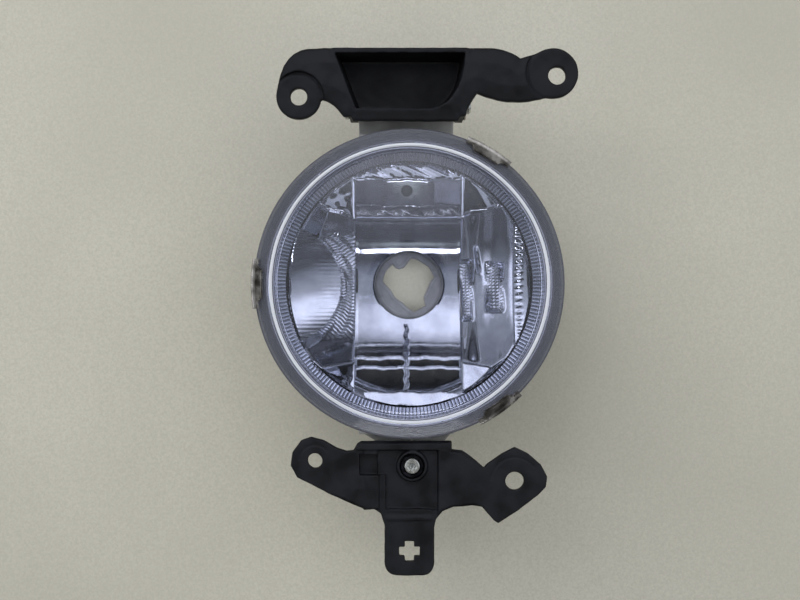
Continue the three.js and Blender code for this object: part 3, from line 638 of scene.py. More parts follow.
def right_height(x, z):
    first = np.exp(-(((x - 19.8) / 2.0) ** 4)) * np.clip((11 - np.abs(z + 2)) / 2, 0, 1)
    second = np.exp(-(((x - 29.4) / 2.5) ** 4)) * np.clip((9 - np.abs(z + 1)) / 2, 0, 1)
    spike = 0.5 * np.exp(-(((x - 23.6 - 0.14 * (10 - z)) / 0.5) ** 2))
    spike = spike * np.clip((z - 3) / 3, 0, 1) * np.clip((14 - z) / 3, 0, 1)
    zigzag = 2.0 * np.abs(((x * 0.8) % 1) - 0.5)
    wave = fluted(z, zigzag * 2.6, 0.10) * first + fluted(z, zigzag * 3.0, 0.11) * second
    column = first + second
    slope = 29.0 - 0.63 * (x - 17.8) + 0.12 * np.sin((x - 17.8) * 2 * math.pi / 9.0)
    inner = slope - z**2 / 90 + 0.24 * z * column + wave - spike
    teeth = 0.16 * np.sin(z * 2 * math.pi / 2.2) * np.exp(-(((x - 37.0) / 0.9) ** 2))
    outer = 14.0 - 0.2 * (x - 35.4) - 0.012 * z**2 + teeth
    return np.where(x < 35.4, np.minimum(inner, bowl(x, z) + 1.0), outer)


def chamber(side):
    low, top = (left_low, left_top) if side < 0 else (right_low, right_top)
    edge = (lambda x: STRIP_LEFT - x) if side < 0 else (lambda x: x - STRIP_RIGHT)
    room = lambda x, z: np.minimum(np.minimum(RING_RADIUS - np.hypot(x, z), edge(x)),
                                   np.minimum(z - low(x), top(x) - z))
    height = left_height if side < 0 else right_height
    xs = steps(-41.2, STRIP_LEFT, 0.33) if side < 0 else steps(STRIP_RIGHT, 41.2, 0.3)
    rolled = lambda x, z: height(x, z) + rounded_over(x, z, room, 0.3, 0.3)
    return field(xs, steps(-29, 28, 0.17), room, rolled)


for side, name in ((-1, "reflector_left_chamber"), (1, "reflector_right_chamber")):
    points, faces = chamber(side)
    piece(name, points, faces, mirror_coat, "lamp_unit", (), 32)

# %% [markdown]
# Above and below each chamber a shelf fills the corner between the strip and the ring. The shelves are nearly
# flat and close to the lens, slightly crumpled where the tool was hand polished, so they break the room into
# pale blotches.

# %% Shelves
def shelf(side, top):
    edge = (lambda x: STRIP_LEFT - x) if side < 0 else (lambda x: x - STRIP_RIGHT)
    bound = {(-1, True): left_top, (1, True): right_top, (-1, False): left_low, (1, False): right_low}[side, top]
    beyond = (lambda x, z: z - bound(x)) if top else (lambda x, z: bound(x) - z)
    room = lambda x, z: np.minimum(np.minimum(RING_RADIUS - np.hypot(x, z), edge(x)), beyond(x, z))
    crumple = lambda x, z: 0.12 * wander(0.7 * x + 0.4 * z, 11 + side) + 0.06 * wander(1.1 * z - 0.5 * x, 15 + side)
    flat_top = lambda x, z: 14.2 - 0.06 * (z - 24)
    flat_low = lambda x, z: 19.0 + 0.41 * (z + 24) - 0.2 * np.sign(x) * (np.abs(x) - 18)
    flat = flat_top if top else flat_low
    rolled = lambda x, z: rounded_over(x, z, room, 0.3, 0.3)
    height = lambda x, z: np.minimum(flat(x, z), bowl(x, z) + 1.0) + crumple(x, z) + rolled(x, z)
    xs = steps(-41.5, STRIP_LEFT, 0.36) if side < 0 else steps(STRIP_RIGHT, 41.5, 0.36)
    return field(xs, steps(18, 38, 0.3) if top else steps(-38, -18, 0.3), room, height)


points, faces = together(*(shelf(side, top) for side in (-1, 1) for top in (True, False)))
piece("reflector_shelves", points, faces, mirror_coat, "lamp_unit", (), 30)

# %% [markdown]
# Behind the fields the shell closes the back of the reflector, carries the rim of its port and leads out to
# the flange that sits in the housing. It is turned.

# %% Reflector shell and port rim
shell = [(PORT + 0.9, bowl(PORT, 0) + 1.5)]
shell += [(r, bowl(r, 0) + 1.55) for r in np.linspace(15, 38.4, 16)]
shell += [(41.3, 15.4), (43.7, 8.2), (44.3, 5.9), (44.6, 5.7), (47.2, 5.7), (47.2, 7.1), (45.6, 7.2), (43.4, 16.8),
          (39.6, 17.2)]
shell += [(r, bowl(r, 0) + 2.0) for r in np.linspace(38.0, 15, 16)] + [(PORT + 0.9, bowl(PORT, 0) + 2.3)]
rim = [(PORT + 1.0, bowl(PORT, 0) + 2.2), (PORT - 0.1, bowl(PORT, 0) + 2.2), (PORT - 0.15, 36.4),
       (PORT + 0.1, 36.0), (PORT + 0.5, 36.0), (PORT + 0.75, 36.5), (PORT + 0.8, 38.0)]
points, faces = together(turned(shell, 160), turned(rim, 128))
piece("reflector_shell_and_port_rim", points, faces, mirror_coat, "lamp_unit", (), 30, outward=True)

# %% [markdown]
# What repeats is made by Geometry Nodes. Three helpers serve all its trees: one opens a tree with named inputs
# for its sizes, one closes it with real geometry and a material, and one runs it once and keeps a plain mesh.

# %% Geometry Nodes helpers
def geometry_tree(name, numbers):
    tree = bpy.data.node_groups.new(name, "GeometryNodeTree")
    tree.interface.new_socket("Geometry", in_out="INPUT", socket_type="NodeSocketGeometry")
    for label, kind in numbers.items():
        tree.interface.new_socket(label, in_out="INPUT", socket_type="NodeSocket" + kind)
    tree.interface.new_socket("Geometry", in_out="OUTPUT", socket_type="NodeSocketGeometry")
    return tree, add(tree, "NodeGroupInput").outputs, add(tree, "NodeGroupOutput")


def grown_piece(name, tree, values, material, body, stands_for=()):
    """Runs a geometry tree once and keeps its result as a plain mesh."""
    seed = bpy.data.objects.new(name + "_seed", bpy.data.meshes.new(name + "_seed"))
    bpy.context.scene.collection.objects.link(seed)
    modifier = seed.modifiers.new("grow", "NODES")
    modifier.node_group = tree
    for item in tree.interface.items_tree:
        if item.in_out == "INPUT" and item.name in values:
            modifier[item.identifier] = values[item.name]
    bpy.context.view_layer.update()
    result = bpy.data.meshes.new_from_object(seed.evaluated_get(bpy.context.evaluated_depsgraph_get()))
    bpy.data.objects.remove(seed)
    if not result.materials:
        result.materials.append(material)
    made = bpy.data.objects.new(name, result)
    bpy.context.scene.collection.objects.link(made)
    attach(made, body)
    if stands_for:
        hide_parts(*stands_for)
    print("%s: %d faces grown" % (name, len(result.polygons)))


def realized(tree, geometry, material, out):
    solid = add(tree, "GeometryNodeRealizeInstances", {"Geometry": geometry}).outputs["Geometry"]
    set_material = add(tree, "GeometryNodeSetMaterial", {"Geometry": solid})
    set_material.inputs["Material"].default_value = material
    tree.links.new(set_material.outputs["Geometry"], out.inputs["Geometry"])


print("geometry helpers ready")

# %% [markdown]
# Between the bowl and the lens runs a ring of 220 narrow flutes, each a small ridge that points at the axis.
# They are all alike and evenly spaced, so the tree makes one ridge, a prism of three sides, and places a copy
# at each step round the ring. The sizes are its inputs, so the count can be changed without touching the rest.

# %% Fluted ring
tree, given, out = geometry_tree("ring_of_flutes", {
    "Flutes": "Int", "Front Radius": "Float", "Back Radius": "Float", "Front Depth": "Float", "Back Depth": "Float",
    "Ridge": "Float"})
index = add(tree, "GeometryNodeInputIndex").outputs[0]
turn = add(tree, "ShaderNodeMath", {0: index, 1: given["Flutes"]}, operation="DIVIDE").outputs[0]
turn = add(tree, "ShaderNodeMath", {0: turn, 1: 2 * math.pi}, operation="MULTIPLY").outputs[0]
middle = add(tree, "ShaderNodeMath", {0: given["Front Radius"], 1: given["Back Radius"]},
             operation="ADD").outputs[0]
middle = add(tree, "ShaderNodeMath", {0: middle, 1: 0.5}, operation="MULTIPLY").outputs[0]
depth = add(tree, "ShaderNodeMath", {0: given["Front Depth"], 1: given["Back Depth"]}, operation="ADD").outputs[0]
depth = add(tree, "ShaderNodeMath", {0: depth, 1: 0.5}, operation="MULTIPLY").outputs[0]
across = [add(tree, "ShaderNodeMath", {0: turn}, operation=kind).outputs[0] for kind in ("COSINE", "SINE")]
across = [add(tree, "ShaderNodeMath", {0: part, 1: middle}, operation="MULTIPLY").outputs[0] for part in across]
place = add(tree, "ShaderNodeCombineXYZ", {"X": across[0], "Y": depth, "Z": across[1]}).outputs[0]
points = add(tree, "GeometryNodePoints", {"Count": given["Flutes"], "Position": place}).outputs[0]
drop = add(tree, "ShaderNodeMath", {0: given["Front Radius"], 1: given["Back Radius"]},
           operation="SUBTRACT").outputs[0]
deep = add(tree, "ShaderNodeMath", {0: given["Back Depth"], 1: given["Front Depth"]},
           operation="SUBTRACT").outputs[0]
lean = add(tree, "ShaderNodeMath", {0: drop, 1: deep}, operation="ARCTAN2").outputs[0]
slant = add(tree, "ShaderNodeCombineXYZ", {"X": drop, "Y": deep}).outputs[0]
length = add(tree, "ShaderNodeVectorMath", {0: slant}, operation="LENGTH").outputs["Value"]
prism = add(tree, "GeometryNodeMeshCone", {"Vertices": 3, "Radius Top": given["Ridge"],
                                           "Radius Bottom": given["Ridge"], "Depth": length},
            fill_type="NGON").outputs["Mesh"]
centred = add(tree, "GeometryNodeTransform", {"Geometry": prism, "Translation": (0, 0, 0)})
half = add(tree, "ShaderNodeMath", {0: length, 1: -0.5}, operation="MULTIPLY").outputs[0]
tree.links.new(add(tree, "ShaderNodeCombineXYZ", {"Z": half}).outputs[0], centred.inputs["Translation"])
# the prism's first edge points along +X: half a turn makes it the ridge that points at the axis
spun = add(tree, "GeometryNodeTransform", {"Geometry": centred.outputs[0], "Rotation": (0, 0, math.pi),
                                           "Scale": (0.5, 1, 1)}).outputs[0]
laid = add(tree, "GeometryNodeTransform", {"Geometry": spun, "Rotation": (-math.pi / 2, 0, 0)}).outputs[0]
tipped = add(tree, "GeometryNodeTransform", {"Geometry": laid})
tree.links.new(add(tree, "ShaderNodeCombineXYZ", {"Z": lean}).outputs[0], tipped.inputs["Rotation"])
back_turn = add(tree, "ShaderNodeMath", {0: turn, 1: -1.0}, operation="MULTIPLY").outputs[0]
facing = add(tree, "ShaderNodeCombineXYZ", {"Y": back_turn}).outputs[0]
copies = add(tree, "GeometryNodeInstanceOnPoints", {"Points": points, "Instance": tipped.outputs[0],
                                                    "Rotation": facing}).outputs[0]
realized(tree, copies, mirror_coat, out)
grown_piece("reflector_fluted_ring", tree, {"Flutes": 220, "Front Radius": 0.0441, "Back Radius": 0.0411,
                                            "Front Depth": 0.0070, "Back Depth": 0.0080, "Ridge": 0.00072},
            mirror_coat, "lamp_unit", ())

# %% [markdown]
# The brackets are thick mouldings whose walls flow into each other with small fillets. Chamfering such edges
# one at a time is slow and fragile. Here each bracket is written as a signed distance, the number of
# millimetres to its surface, negative inside. The lesser of two distances joins two solids, the greater cuts
# one, and a softened lesser leaves a fillet. OpenVDB, which comes with Blender, then turns the numbers on a
# fine grid into a mesh of quads.

# %% Distances in millimetres
def outline(x, z, corners):
    """Distance to a polygon in the plane of the bracket."""
    corners = np.asarray(corners, float)
    nearest, inside = np.full(np.broadcast(x, z).shape, 1e9), np.zeros(np.broadcast(x, z).shape, bool)
    for (ax, az), (bx, bz) in zip(corners, np.roll(corners, -1, axis=0)):
        ex, ez = bx - ax, bz - az
        t = np.clip(((x - ax) * ex + (z - az) * ez) / (ex * ex + ez * ez + 1e-12), 0, 1)
        nearest = np.minimum(nearest, (x - ax - t * ex) ** 2 + (z - az - t * ez) ** 2)
        crosses = (az > z) != (bz > z)
        inside ^= crosses & (x < ex * (z - az) / (ez if ez else 1e-12) + ax)
    return np.where(inside, -1, 1) * np.sqrt(nearest)


def disc(x, z, cx, cz, radius):
    return np.hypot(x - cx, z - cz) - radius


def raised(flat, y, front, back, edge=0.0):
    """A flat shape given a thickness; edge rounds it."""
    deep = np.abs(y - (front + back) / 2) - (back - front) / 2
    flat, deep = flat + edge, deep + edge
    return np.minimum(np.maximum(flat, deep), 0) + np.hypot(np.maximum(flat, 0), np.maximum(deep, 0)) - edge


def join(a, b, fillet=0.6):
    h = np.clip(0.5 + 0.5 * (b - a) / fillet, 0, 1)
    return b * (1 - h) + a * h - fillet * h * (1 - h)


def cut(a, b, fillet=0.3):
    return -join(-a, b, fillet)


def meshed(distance, low, cell):
    grid = openvdb.FloatGrid(3.0)
    grid.copyFromArray(np.ascontiguousarray(np.clip(distance, -3, 3), dtype=np.float32))
    points, quads = grid.convertToQuads(0.0)
    points = np.asarray(points) * cell + np.asarray(low)
    a, b, c = points[quads[:, 0]], points[quads[:, 1]], points[quads[:, 2]]
    d = points[quads[:, 3]]
    volume = (np.einsum("ij,ij->i", a, np.cross(b, c)) + np.einsum("ij,ij->i", a, np.cross(c, d))).sum()
    return points, (quads if volume > 0 else quads[:, ::-1]).tolist()


def grid_of(low, high, cell):
    axes = [np.arange(a, b + cell, cell) for a, b in zip(low, high)]
    return np.meshgrid(*axes, indexing="ij", sparse=True)


def bend(start, control, end, count=8):
    t = np.linspace(0, 1, count)[:, None]
    start, control, end = np.array(start), np.array(control), np.array(end)
    return ((1 - t) ** 2 * start + 2 * t * (1 - t) * control + t**2 * end).tolist()


print("distance helpers ready")

# %% [markdown]
# The upper bracket is a bar with a deep pocket, open at the front, and an arm to each side that swells forward
# before it dips to a round pad with the screw hole. A groove marks where arm and pad meet. Two cheeks behind
# the pocket hold the pivot pin.

# %% Upper bracket
def upper_bracket_distance(x, y, z):
    foot, top = upper_low[2], upper_high[2]
    ears = [(-36.5, 61.6, 7.4, -36.5, 61.6, 2.8), (47.4, 69.4, 8.3, 48.7, 68.6, 2.9)]
    left_end = bend((-43.9, 61.6), (-42.6, 76.6), (-33.5, top - 0.3))
    dip = [(x0, top - 0.9 * math.sin(math.pi * (x0 + 30) / 55) ** 2) for x0 in np.linspace(-28, 25, 12)]
    right_top = bend((25.3, top), (32.3, top), (36.6, 74.3))
    tail = bend((46.6, 61.9), (34, 57.4), (22.3, 62.8))
    ragged = [(19.0, 57.4), (18.6, 55.6), (17.0, 55.3), (16.0, foot + 0.1), (6.0, foot), (-6.0, foot + 0.2),
              (-18.6, foot + 0.1), (-19.4, 55.2), (-21.6, 55.0)]
    lift = bend((-22.0, 55.4), (-25.6, 60.6), (-29.5, 60.6))
    shape = left_end + dip + right_top + [(45.0, 76.9), (47.4, 77.0), (46.8, 66.0)]
    shape += tail + ragged + lift + [(-36.5, 60.4)]
    flat = outline(x, z, shape)
    swell = 1.6 * np.clip(-flat / 5.0, 0, 1) ** 0.7
    body = raised(flat, y, -0.3, 3.2, 0.7)
    body = np.minimum(body, np.maximum(flat + 0.5, np.maximum(-y - swell, y - 2.0)))
    for cx, cz, r, hx, hz, hole in ears:
        body = cut(body, raised(disc(x, z, cx, cz, r + 0.75), y, -4, 0.25), 0.5)
        body = join(body, raised(disc(x, z, cx, cz, r), y, 0.0, 3.2, 0.5), 0.35)
    pocket_top = top - 1.7
    inner = [(-24.5, pocket_top), (-17.6, 57.8), (5.0, 57.5)] + bend((7.0, 57.5), (17.6, 60.0), (18.3, pocket_top))
    inner_flat = outline(x, z, inner)
    body = join(body, raised(inner_flat - 1.7, y, -1.0, 14.2, 0.6), 0.8)
    for side in (-1, 1):
        x0 = -1 + side * (16.4 + 1.4)
        arm = np.maximum(np.maximum(np.abs(x - x0) - 1.4, np.abs(z - 61.0) - 5.4), np.maximum(0.6 - y, y - 22.0))
        knuckle = np.maximum(np.hypot(y - PIVOT_Y, z - PIVOT_Z) - 5.4, np.abs(x - x0) - 1.4)
        body = join(body, np.minimum(arm, knuckle), 0.8)
        web = np.maximum(np.maximum(np.abs(x - x0) - 0.8, np.abs(z - 68.5) - 3.5),
                         np.maximum(12.0 - y, (y - 12.0) + (z - 65.0) * 0.9 - 6))
        body = join(body, web, 0.6)
    body = cut(body, raised(inner_flat + 0.15 * np.maximum(y, 0) * 0.6, y, -5, 12.0, 0.6), 0.5)
    for cx, cz, r, hx, hz, hole in ears:
        body = cut(body, raised(disc(x, z, hx, hz, hole), y, -4, 5), 0.35)
    body = cut(body, np.hypot(y - PIVOT_Y, z - PIVOT_Z) - 2.85 + 0 * x, 0.2)
    floor = np.maximum(foot + 0.02 - z, -3.0)
    grain = 0.05 * np.sin(x * 0.9 + 1.3 * np.sin(z * 0.5)) * np.sin(z * 0.8)
    return np.maximum(body + grain, floor)


CELL = 0.36
low, high = (-45.5, -3.4, 52.0), (57.5, 29.0, 78.6)
points, faces = meshed(upper_bracket_distance(*grid_of(low, high, CELL)), low, CELL)
piece("upper_bracket_moulding", points, faces, black_moulding, "mounting", ("upper_bracket",),
      50)

# %% [markdown]
# The lower bracket is flatter: a rib along its top edge, a sunk middle panel with the boss of the aiming screw,
# a deep slot beside it, an ear to each side and a tongue that steps back at two low ridges. The tongue's cross
# shaped hole takes a plastic clip.

# %% Lower bracket
def lower_bracket_distance(x, y, z):
    left = [(-39.2, -60.0), (-38.6, -55.5), (-35.8, -51.7), (-32.4, -50.5), (-28.3, -51.6), (-24.2, -54.0),
            (-20.7, -55.2), (-18.5, -54.9), (-17.2, -52.7), (-15.8, -51.9)]
    right = [(13.8, -51.9), (13.9, -54.6), (17.4, -55.0), (20.6, -57.2), (24.6, -60.6), (25.4, -59.6),
             (30.5, -56.0), (34.8, -53.9), (39.1, -55.9), (43.3, -59.6), (45.5, -63.6), (45.0, -67.0),
             (42.4, -69.7), (36.0, -74.6), (29.3, -78.9), (27.7, -77.9), (23.9, -73.5), (20.6, -73.1),
             (14.5, -73.6), (11.0, -74.9), (8.8, -77.6), (8.2, -80.5), (8.2, -91.8)]
    tip = lower_low[2]
    foot = bend((8.2, -92.0), (7.8, tip), (3.8, tip)) + bend((-3.6, tip), (-8.0, tip), (-8.2, -91.6))
    rest = [(-8.2, -79.5), (-9.4, -75.8), (-12.4, -73.6), (-14.7, -74.3), (-17.4, -73.3), (-26.1, -69.4),
            (-37.0, -63.8)]
    flat = outline(x, z, left + right + foot + rest)
    body = raised(flat, y, 0.0, 3.2, 0.5)
    facet = 0.9 * np.clip((x + 26.0) / 8.0, 0, 1) * np.clip((-10.5 - x) / 2.0, 0, 1)
    facet = facet * np.clip((-61.5 - z) / 6.0, 0, 1)
    right_panel = 1.1 * np.clip((x - 9.2) / 0.4, 0, 1) * np.clip((24.0 - x) / 6.0, 0, 1)
    body = np.minimum(body, np.maximum(flat + 0.6, np.maximum(-y - np.maximum(facet, right_panel), y - 2.0)))
    rib = raised(outline(x, z, [(-17.4, -54.7), (-15.6, -52.4), (13.8, -52.3), (13.9, -54.7)]), y, -1.3, 8.0, 0.4)
    upright = [(-15.0, -74.5), (-15.0, -54.0), (-10.0, -54.0), (-10.0, -74.0)]
    wall = raised(outline(x, z, upright), y, -0.7, 3.2, 0.4)
    body = join(join(body, rib, 0.5), wall, 0.6)
    panel = [(-10.4, -54.9), (9.2, -54.9), (9.2, -74.5), (-7.7, -74.5), (-7.7, -62.9), (-10.4, -62.9)]
    body = cut(body, raised(outline(x, z, panel), y, -4, 0.9), 0.45)
    recess = [(-16.4, -63.0), (-16.4, -56.2), (-10.6, -56.2), (-10.6, -63.0)]
    body = cut(body, raised(outline(x, z, recess), y, -4, 2.2, 0.3), 0.4)
    body = join(body, raised(disc(x, z, screw_x, screw_z, 5.1), y, -0.95, 7.95, 0.5), 0.7)
    for height, lift in ((-74.6, 0.5), (-77.2, 0.85)):
        body = join(body, np.hypot(np.hypot(np.maximum(np.abs(x) - 6.8, 0), z - height), y - 0.3) - lift, 0.7)
    ears = [(-31.1, -58.3, 7.6, 2.4), (34.7, -65.0, 10.2, 3.0)]
    for cx, cz, r, hole in ears:
        groove = np.hypot(np.abs(disc(x, z, cx, cz, r - 2.4)), y + 0.05) - 0.3
        arc = np.maximum(groove, np.where(np.arctan2(z - cz, x - cx) > 0.6, -1, 1) * 1.0)
        body = cut(body, arc, 0.4)
        body = cut(body, raised(disc(x, z, cx, cz, hole), y, -4, 5), 0.35)
    body = cut(body, raised(disc(x, z, screw_x, screw_z, 2.85), y, -4, 12), 0.2)
    body = cut(body, raised(disc(x, z, screw_x, screw_z, 4.15), y, -4, 0.35), 0.2)
    cross = np.minimum(np.maximum(np.abs(x) - 3.35, np.abs(z + 88.2) - 1.5),
                       np.maximum(np.abs(x) - 1.5, np.abs(z + 88.2) - 3.35))
    body = cut(body, raised(cross, y, -4, 5), 0.25)
    for height in (-60.0, -66.0, -72.0):
        body = join(body, np.maximum(np.maximum(np.abs(z - height) - 0.7, np.abs(x - 13.5) - 2.6),
                                     np.maximum(2.6 - y, y - 5.5)), 0.5)
    grain = 0.05 * np.sin(x * 0.8 + 1.1 * np.sin(z * 0.6)) * np.sin(z * 0.7)
    return body + grain


FINER_CELL = 0.32
low, high = (-41.5, -2.8, -98.0), (47.5, 9.6, -50.0)
points, faces = meshed(lower_bracket_distance(*grid_of(low, high, FINER_CELL)), low, FINER_CELL)
piece("lower_bracket_moulding", points, faces, black_moulding, "mounting", ("lower_bracket",),
      50)

# %% [markdown]
# The housing is a deep cup that follows the reflector, with a neck for the bulb. The cup and its neck are round,
# so they are turned.

# %% Housing cup
cup_out = [(44.9, 7.2), (47.0, 7.0), (47.0, 3.1), (47.3, 3.0), (50.7, 3.0), (51.0, 3.3), (51.0, 6.6), (50.6, 7.0),
           (49.2, 7.0), (48.6, 7.6), (48.3, 8.6), (47.4, 14.0), (46.3, 15.2), (45.6, 17.2), (45.0, 19.6)]
cup_out += [(r, bowl(r, 0) + 5.4) for r in np.linspace(38.5, 17.6, 26)]
cup_out += [(17.0, bowl(16.6, 0) + 5.9), (16.6, bowl(16.6, 0) + 7.0), (16.6, 50.6), (17.1, 51.0), (17.1, 52.0),
            (16.6, 52.4), (16.6, 57.7), (16.3, 58.06), (14.8, 58.06), (14.4, 57.6), (14.4, 46.4), (14.2, 46.1),
            (12.9, 46.07), (12.6, 45.8)]
cup_in = [(r, bowl(r, 0) + 2.8) for r in np.linspace(12.6, 38.5, 26)] + [(43.6, 15.0), (45.4, 7.6)]
points, faces = turned(cup_out + cup_in, 192)
piece("housing_cup_and_neck", points, faces, grey_moulding, "lamp_unit", ("housing",), 34,
      outward=True)

# %% [markdown]
# The lugs, their gussets and the vent spigot aren't round, so they are written as distances and meshed. They
# overlap the cup, as parts of one moulding do, and stop short of the space inside it.

# %% Housing lugs and spigot
def inside_cup(x, y, z):
    r = np.hypot(x, z)
    return np.minimum(np.maximum(r - 47.2, y - 14.5), np.maximum((y - bowl(r, 0) - 4.4) * 0.6, r - 44.6))


def lug_distance(x, y, z):
    barrel = np.maximum(np.hypot(y - PIVOT_Y, z - PIVOT_Z) - 6.2, np.abs(x + 1) - 16)
    plate = np.maximum(np.maximum(np.abs(x + 1) - 16, np.abs(y - 17.8) - 1.8), np.maximum(40 - z, z - 61))
    body = join(barrel, plate, 1.2)
    for x0 in (-14.9, 12.9):
        body = join(body, np.maximum(np.maximum(np.abs(x - x0) - 1.9, np.abs(y - 14.0) - 8),
                                     np.maximum(40 - z, z - 50.0)), 0.8)
    body = cut(body, np.hypot(y - PIVOT_Y, z - PIVOT_Z) - 4.35 + 0 * x, 0.3)
    return np.maximum(body, -inside_cup(x, y, z))


def lower_lug_distance(x, y, z):
    web = outline(x, z, [(-17, -38), (15, -38), (15, -50.2), (10.9, -55.2), (10.9, -67.8), (-9.1, -67.8),
                         (-9.1, -55.2), (-17, -50.2)])
    body = raised(web, y, 20.25, 23.75, 0.5)
    for x0 in (-14.9, 12.9):
        body = join(body, np.maximum(np.maximum(np.abs(x - x0) - 1.9, np.abs(y - 14.0) - 9.5),
                                     np.maximum(-50 - z, z + 38)), 0.8)
    slot = np.minimum(np.hypot(x - screw_x, z - screw_z) - 4.9, np.maximum(np.abs(x - screw_x) - 4.9, z - screw_z))
    return np.maximum(cut(body, slot + 0 * y, 0.4), -inside_cup(x, y, z))


def spigot_distance(x, y, z):
    pipe = np.hypot(x, z - 26)
    barb = 0.35 * np.clip(1 - ((y - 43.5) % 2.4) / 1.4, 0, 1) * (y > 40)
    return np.maximum(np.maximum(pipe - 2.75 - barb, y - 45.0), np.maximum(33.2 - y, 1.6 - pipe))


shapes = []
for distance, low, high in ((lug_distance, (-18.5, 4.5, 38.5), (16.5, 29.5, 68.5)),
                            (lower_lug_distance, (-18.5, 3.0, -69.0), (16.5, 25.0, -37.0)),
                            (spigot_distance, (-4.5, 32.0, 21.5), (4.5, 46.5, 30.5))):
    cell = 0.4 if high[0] - low[0] > 20 else 0.25
    points, faces = meshed(distance(*grid_of(low, high, cell)) + 0.0, low, cell)
    shapes.append((points, faces))
points, faces = together(*shapes)
piece("housing_lugs_and_spigot", points, faces, grey_moulding, "lamp_unit", (), 50)

# %% [markdown]
# Thin ribs stiffen the cup. They stand on its back at equal angles, so Geometry Nodes places one thin block for
# each, lying along the slope of the cup.

# %% Ribs on the cup
tree, given, out = geometry_tree("ribs_round_a_cup", {
    "Ribs": "Int", "Radius": "Float", "Depth": "Float", "Length": "Float", "Height": "Float", "Thickness": "Float",
    "Slope": "Float"})
index = add(tree, "GeometryNodeInputIndex").outputs[0]
turn = add(tree, "ShaderNodeMath", {0: index, 1: 0.5}, operation="ADD").outputs[0]
turn = add(tree, "ShaderNodeMath", {0: turn, 1: given["Ribs"]}, operation="DIVIDE").outputs[0]
turn = add(tree, "ShaderNodeMath", {0: turn, 1: 2 * math.pi}, operation="MULTIPLY").outputs[0]
across = [add(tree, "ShaderNodeMath", {0: turn}, operation=kind).outputs[0] for kind in ("COSINE", "SINE")]
across = [add(tree, "ShaderNodeMath", {0: part, 1: given["Radius"]}, operation="MULTIPLY").outputs[0]
          for part in across]
place = add(tree, "ShaderNodeCombineXYZ", {"X": across[0], "Y": given["Depth"], "Z": across[1]}).outputs[0]
points = add(tree, "GeometryNodePoints", {"Count": given["Ribs"], "Position": place}).outputs[0]
size = add(tree, "ShaderNodeCombineXYZ", {"X": given["Length"], "Y": given["Height"],
                                          "Z": given["Thickness"]}).outputs[0]
block = add(tree, "GeometryNodeMeshCube", {"Size": size}).outputs["Mesh"]
sloped = add(tree, "GeometryNodeTransform", {"Geometry": block})
tree.links.new(add(tree, "ShaderNodeCombineXYZ", {"Z": given["Slope"]}).outputs[0], sloped.inputs["Rotation"])
back_turn = add(tree, "ShaderNodeMath", {0: turn, 1: -1.0}, operation="MULTIPLY").outputs[0]
facing = add(tree, "ShaderNodeCombineXYZ", {"Y": back_turn}).outputs[0]
copies = add(tree, "GeometryNodeInstanceOnPoints", {"Points": points, "Instance": sloped.outputs[0],
                                                    "Rotation": facing}).outputs[0]
realized(tree, copies, grey_moulding, out)
grown_piece("housing_ribs", tree, {"Ribs": 16, "Radius": 0.0305, "Depth": 0.0312, "Length": 0.020,
                                   "Height": 0.0030, "Thickness": 0.0014, "Slope": -0.86},
            grey_moulding, "lamp_unit", ())

# %% [markdown]
# The keyed ring is where the bulb's three lugs pass. Its hole and three lobes have small radii and a raised lip,
# which the distance method gives at once.

# %% Bulb socket ring
def socket_ring_distance(x, y, z):
    r, turn = np.hypot(x, z), np.degrees(np.arctan2(z, x))
    lobes = [(-5.8, 6.6), (-2.3, 5.4), (0.8, 9.7), (3.4, 9.2), (7.4, 6.4), (9.4, 2.8), (8.0, 1.4), (5.4, -4.6),
             (6.0, -7.6), (2.0, -9.8), (-0.5, -8.2), (-9.4, 1.2), (-8.4, 5.0)]
    hole = np.minimum(r - 6.6, outline(x, z, lobes))
    for at, width in ((52, 56), (149, 42), (-66, 32)):
        away = np.abs((turn - at + 180) % 360 - 180) - width / 2
        hole = np.minimum(hole, np.maximum(r - 9.5, np.radians(away) * np.maximum(r, 1)))
    body = raised(r - 14.05, y, 46.75, 49.3, 0.25)
    body = join(body, raised(np.abs(r - 11.3) - 0.6, y, 46.42, 48, 0.15), 0.3)
    lip = raised(np.abs(hole - 0.75) - 0.45, y, 46.45, 48, 0.15)
    return cut(join(body, lip, 0.3), hole + 0 * y, 0.3)


FINEST_CELL = 0.22
low, high = (-14.8, 45.8, -14.8), (14.8, 50.2, 14.8)
points, faces = meshed(socket_ring_distance(*grid_of(low, high, FINEST_CELL)), low, FINEST_CELL)
piece("keyed_socket_ring", points, faces, socket_moulding, "lamp_unit", ("bulb_socket_ring",), 50)

# %% [markdown]
# Each clip is a strip of spring steel folded over the rim: a long tongue on the lens, pressed down in the
# middle, and a short one behind. Its section is a bent line with a thickness, carried round the rim by an arc.

